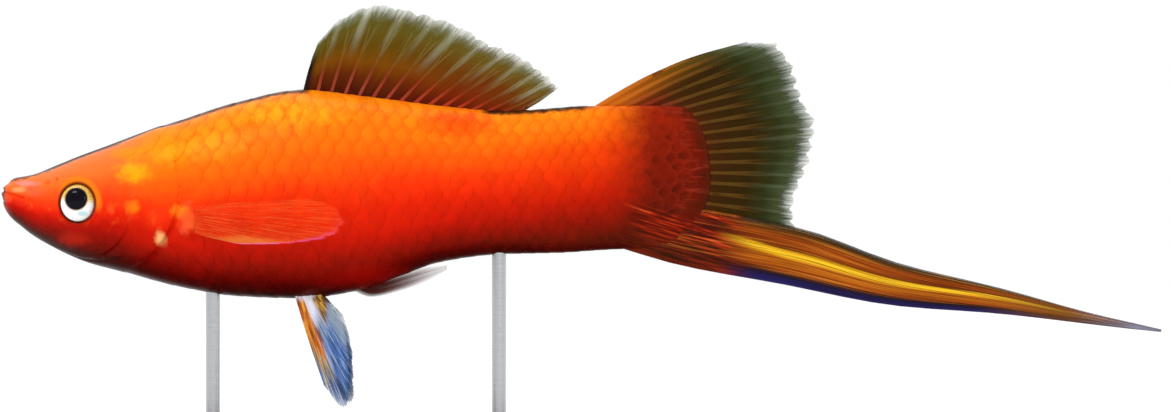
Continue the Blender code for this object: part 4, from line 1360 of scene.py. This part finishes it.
class Fin:
    """One fin: a thin frayed membrane and jointed rays that branch towards its edge."""

    splits = (0.42, 0.72)
    flatness = 0.7
    notch = 0.03
    ray_reach = 1.0
    rows = 70
    cells = 12

    def __init__(self, name, place, rays, paints, node, slot, draw, **shape):
        self.name, self.place, self.rays, self.paints = name, place, rays, paints
        self.node, self.slot = node, slot
        for key, value in shape.items():
            setattr(self, key, value)
        self.twigs = 2 ** len(self.splits)
        rng = np.random.default_rng(SEED + draw)
        scallop = rng.uniform(0, 1, (rays, 1)) + np.abs(np.linspace(-1, 1, self.twigs)) ** 2
        uneven = SCALLOP_SHARES[1] * rng.uniform(0, 1, (rays, self.twigs))
        self.tips = 1.0 - self.fray * (SCALLOP_SHARES[0] * scallop + uneven)

    def offset(self, t, twig):
        """How far a twig of a ray has spread sideways at t, in ray pitches."""
        total = 0.0 * t
        for level, split in enumerate(self.splits):
            side = 1 if (twig >> (len(self.splits) - 1 - level)) & 1 else -1
            opened = np.clip((t - split) / (1 - split), 0, 1) ** TWIG_BEND
            total = total + side * TWIG_SPREAD / 2**level * opened
        return total

    def reach(self, v):
        """Where the membrane ends at v: at the twigs' tips, with a shallow notch between them."""
        spread = [self.offset(1.0, twig) for twig in range(self.twigs)]
        at = (np.arange(self.rays)[:, None] + spread).ravel() / (self.rays - 1)
        order = np.argsort(at)
        level = np.interp(v, at[order], self.tips.ravel()[order])
        wave = np.abs(np.sin(math.pi * v * (self.rays - 1) * self.twigs))
        return level - self.notch * (0.4 + 0.6 * wave)

    def values(self, middle, t, v, copy):
        """What the colours follow: place on the fin and on the fish, and millimetres along a ray."""
        u, run = middle[..., 0], np.linalg.norm(middle - self.place(0 * t, v), axis=-1)
        values = {"t": t, "v": v, "along": u, "height": middle[..., 2], "run": run}
        values["band"] = stripe_band(u, v)
        return {key: copy(number.ravel()) for key, number in values.items()}

    def make_web(self):
        columns = (self.rays - 1) * self.cells + 1
        share = np.linspace(0, 1, self.rows + 1)[:, None]
        v = np.linspace(0, 1, columns)[None, :] + 0 * share
        t = share * self.reach(v)
        middle, _, normal = fin_frames(self.place, t, v)
        root, tip = self.web
        valley = 1 - WEB_VALLEY * (1 - np.cos(2 * math.pi * v * (self.rays - 1)))
        half = 0.5 * (root + (tip - root) * share) * valley * (1 - WEB_THIN_EDGE * share**8)
        out = normal * half[..., None]
        points = np.stack([middle + out, middle - out]).reshape(-1, 3)
        values = self.values(middle, t, v, lambda numbers: np.tile(numbers, 2))
        faces = sheet_faces(self.rows + 1, columns).tolist()
        obj = new_piece(self.name, points, faces, self.paints[0], values)
        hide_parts(self.node)
        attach(obj, "root")

    def strand(self, ray, twig, level):
        """One length of a ray: its stem, or a branch from one split to the next."""
        ends = (0.0, *self.splits, float(self.tips[ray, twig]) * self.ray_reach)
        start, end = ends[level], ends[level + 1]
        start = max(start - BRANCH_SINK, 0.0) if level else 0.0
        end = end if level == len(self.splits) else end + SPLIT_OVERLAP
        t = np.linspace(start, end, RAY_STEPS)
        v = (ray + self.offset(t, twig)) / (self.rays - 1)
        return t, np.clip(v, 0.002, 0.998), np.full(RAY_STEPS, level)

    def strands(self):
        lines, seen = [], set()
        levels = len(self.splits)
        for ray in range(self.rays):
            for twig in range(self.twigs):
                for level in range(levels + 1):
                    key = (ray, level, twig >> (levels - level))
                    if key not in seen:
                        seen.add(key)
                        lines.append(self.strand(ray, twig, level))
        return (np.array(numbers) for numbers in zip(*lines))

    def make_rays(self):
        levels = len(self.splits)
        t, v, level = self.strands()
        middle, across, normal = fin_frames(self.place, t, v)
        values = self.values(middle, t, v, lambda numbers: np.repeat(numbers, RAY_SIDES))
        run = values["run"][::RAY_SIDES].reshape(t.shape)
        root, tip = self.radius
        radius = root + (tip - root) * t**0.8
        travelled = t - t[:, :1]
        radius = radius * FORK_THINNING ** np.maximum(level - 1 + ease(travelled / FORK_REACH), 0)
        starting = 1 - ease(travelled / (2 * BRANCH_SINK))
        radius = radius * (1 - BRANCH_ENDS[0] * starting * (level > 0))
        ending = ease((t - t[:, -1:] + SPLIT_OVERLAP) / SPLIT_OVERLAP)
        radius = radius * (1 - BRANCH_ENDS[1] * ending * (level < levels))
        joint = np.abs(np.sin(math.pi * run / JOINT_SPACING))
        radius = radius * (1 - JOINT_SWELL * (1 - joint))
        radius[level[:, 0] == levels, -1] *= RAY_TIP
        if self.ray_reach < 1:
            loss, start, end = SUNK_TIP
            radius = radius * (1 - loss * ease((t - start) / (end - start)))
        deep = normal * (radius * self.flatness)[..., None]
        points, faces = tubes(middle, across * radius[..., None], deep)
        obj = new_piece(self.name + "_rays", points, faces, self.paints[1], values, sharp=None)
        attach(obj, "root")


def make_fins():
    soft = {"flatness": 0.4, "notch": 0.006, "ray_reach": 0.93}
    plain = {"splits": (), "fray": 0.0, "notch": 0.0}
    dorsal, tail, sword, gonopodium, pectoral, pelvic = (
        (paint(False), paint(True))
        for paint in (dorsal_paint, caudal_paint, sword_paint, gonopodium_paint, pectoral_paint, pelvic_paint)
    )
    fins = [
        Fin("dorsal_web", dorsal_place, DORSAL_RAYS, dorsal, "dorsal_fin", "dorsal_web", 1,
            web=(0.10, 0.05), radius=(0.26, 0.13), splits=(0.46, 0.66, 0.80), fray=0.07, **soft),
        Fin("tail_web", caudal_place, CAUDAL_RAYS, tail, "tail_fin", "tail_web", 2,
            web=(0.12, 0.05), radius=(0.33, 0.13), splits=(0.40, 0.62, 0.80), fray=0.06, **soft),
        Fin("sword_web", sword_place, SWORD_RAYS, sword, "tail_sword", "sword_gold", 3,
            web=(0.40, 0.10), radius=(0.30, 0.06), rows=220, cells=14, **plain),
        Fin("gonopodium_web", gonopodium_place, GONOPODIUM_RAYS, gonopodium, "gonopodium",
            "clear_red_web", 4, web=(0.24, 0.10), radius=(0.13, 0.05), rows=60, **plain),
    ]
    for word, side in SIDES:
        fins += [
            Fin("pectoral_web_" + word, pectoral_place(side), PECTORAL_RAYS, pectoral,
                "pectoral_fin_" + word, "clear_red_web", 5, web=(0.08, 0.04), radius=(0.07, 0.025),
                fray=0.04),
            Fin("pelvic_web_" + word, pelvic_place(side), PELVIC_RAYS, pelvic,
                "pelvic_fin_" + word, "blue_web", 6, web=(0.14, 0.05), radius=(0.17, 0.05), fray=0.05),
        ]
    for fin in fins:
        fin.make_web()
        fin.make_rays()


# Eyes.


def eye_surface(u, h):
    """Distance of the eye's front from the fish's mid-plane."""
    ratio = np.clip(eye_ratio(u, h), 0, 1)
    return EYE_OUT + EYE_RADII[1] * (1 - ratio**EYE_FULLNESS) ** (1 / EYE_FULLNESS)


def oval_rings(middle, radii, turns, rings):
    """u and h of rings that fill an oval, and each one's size as a share of the outline."""
    turn = 2 * math.pi * np.arange(turns) / turns
    share = np.sin(0.5 * math.pi * np.linspace(0.02, 1, rings))[:, None] + 0 * turn
    return middle[0] + radii[0] * share * np.cos(turn), middle[1] + radii[1] * share * np.sin(turn), share


def closed_shell(front, back):
    """Points and faces of a body with rings of points in front and behind, capped at both ends."""
    shell = np.concatenate([front, back])
    rows, turns = shell.shape[:2]
    caps = [list(range(turns))[::-1], list(range((rows - 1) * turns, rows * turns))]
    return shell.reshape(-1, 3), ring_faces(rows, turns).tolist() + caps


def make_eye(word, side, iris, pupil):
    u, h, ratio = oval_rings(EYE, EYE_RADII[::2], *EYE_GRID)
    surface = eye_surface(u, h)
    away = np.hypot(u - PUPIL[0], h - PUPIL[1])
    lip = IRIS_LIP * bell(away - PUPIL_RADIUS - 0.12, 0.10) * (ratio < 0.9)
    front = np.stack([u, side * (surface + lip), h], axis=-1)
    back = np.stack([u, side * (2 * EYE_OUT - surface), h], axis=-1)[-2::-1]
    points, faces = closed_shell(front, back)
    u, h = points[:, 0], points[:, 2]
    values = {"along": u, "height": h, "ratio": eye_ratio(u, h)}
    ball = new_piece("eyeball_" + word, points, faces, iris, values, sharp=None)
    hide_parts("eye_" + word)
    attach(ball, "root")
    make_pupil(word, side, pupil)


def make_pupil(word, side, paint):
    """Lens that bulges through the iris."""
    u, h, share = oval_rings(PUPIL, (PUPIL_RADIUS, PUPIL_RADIUS), *PUPIL_GRID)
    surface = eye_surface(u, h)
    bulge = PUPIL_BULGE * np.sqrt(1 - share**2) - 0.02
    front = np.stack([u, side * (surface + bulge), h], axis=-1)
    back = np.stack([u, side * (surface - PUPIL_DEPTH), h], axis=-1)[::-1]
    lens = new_piece("pupil_" + word, *closed_shell(front, back), paint)
    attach(lens, "root")


# Stand.


def make_collar(name, u, paint):
    """Small turned ferrule where a rod enters the base, as a profile spun round the rod."""
    turn = 2 * math.pi * np.arange(COLLAR_TURNS) / COLLAR_TURNS
    rings = []
    for beyond, up in COLLAR_PROFILE:
        radius, height = ROD_RADIUS + beyond, BASE_HEIGHT + 0.01 + up - SNOUT_HEIGHT
        rings.append(np.stack([u + radius * np.cos(turn), radius * np.sin(turn), height + 0 * turn], axis=-1))
    points = np.concatenate(rings)
    faces = ring_faces(len(rings) + 1, COLLAR_TURNS) % len(points)
    collar = new_piece(name, points, faces.tolist(), paint, sharp=35)
    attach(collar, "root")


def make_stand():
    wood, steel = wood_paint(), steel_paint()
    finishes = {"stand_base": wood, "stand_rod_front": steel, "stand_rod_rear": steel}
    for node, paint in finishes.items():
        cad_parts[node].data.materials[0] = paint.material
    for word, u in zip(("front", "rear"), ROD_PLACES):
        make_collar("stand_collar_" + word, u, steel)


# Stage.


def make_floor():
    """Pale round floor. Past its edge the bright backdrop goes on below it without a line."""
    turns = [2 * math.pi * k / FLOOR_CORNERS for k in range(FLOOR_CORNERS)]
    rim = [(FLOOR_RADIUS * math.cos(turn), FLOOR_RADIUS * math.sin(turn), 0.0) for turn in turns]
    mesh = bpy.data.meshes.new("floor")
    mesh.from_pydata(rim, [], [range(FLOOR_CORNERS)])
    mesh.materials.append(floor_paint().material)
    obj = bpy.data.objects.new("floor", mesh)
    bpy.context.scene.collection.objects.link(obj)


def make_light(name, location, size, power):
    data = bpy.data.lights.new(name, "AREA")
    data.shape = "RECTANGLE"
    data.size, data.size_y = size
    data.energy = power
    obj = bpy.data.objects.new(name, data)
    obj.location = location
    obj.rotation_euler = (Vector(LIGHT_TARGET) - obj.location).to_track_quat("-Z", "Y").to_euler()
    bpy.context.scene.collection.objects.link(obj)


def make_room():
    """White backdrop for the camera. Its light on the fish is dimmer from the camera's side."""
    world = bpy.data.worlds.new("studio")
    room = Nodes(world)
    facing = room.node("ShaderNodeSeparateXYZ", {0: room.node("ShaderNodeTexCoord", {}, "Generated")}, "Y")
    limits = {"Value": facing, "From Min": ROOM_TURN[0], "From Max": ROOM_TURN[1]}
    limits.update({"To Min": ROOM_LIGHT, "To Max": BACKDROP_LIGHT})
    strength = room.node("ShaderNodeMapRange", limits, interpolation_type="SMOOTHSTEP")
    seen = room.node("ShaderNodeLightPath", {}, "Is Camera Ray")
    background = world.node_tree.nodes["Background"].inputs
    background["Color"].default_value = (1.0, 1.0, 1.0, 1.0)
    room.put(room.node("ShaderNodeMix", {0: seen, 2: strength, 3: BACKDROP_LIGHT}), background["Strength"])
    bpy.context.scene.world = world


def make_camera():
    data = bpy.data.cameras.new("camera")
    data.lens = LENS
    data.sensor_width = SENSOR
    data.clip_start = 0.01
    data.clip_end = 10.0
    distance = PHOTO_WIDTH_MM * LENS / SENSOR
    camera = bpy.data.objects.new("camera", data)
    camera.location = (CAMERA_X * MM, -distance * MM, CAMERA_HEIGHT * MM)
    camera.rotation_euler = (math.radians(90), 0, 0)
    bpy.context.scene.collection.objects.link(camera)
    bpy.context.scene.camera = camera


skin_table = Skin()
make_skin(skin_table, skin_paint())
make_scales(skin_table, scale_paint())
make_fins()
iris_paint, lens_paint = eye_paint(), pupil_paint()
for side_word, side_sign in SIDES:
    make_eye(side_word, side_sign, iris_paint, lens_paint)
make_stand()
make_floor()
for light in LIGHTS:
    make_light(*light)
make_room()
make_camera()
bpy.context.scene.view_settings.view_transform = "Standard"
bpy.context.scene.view_settings.look = "None"
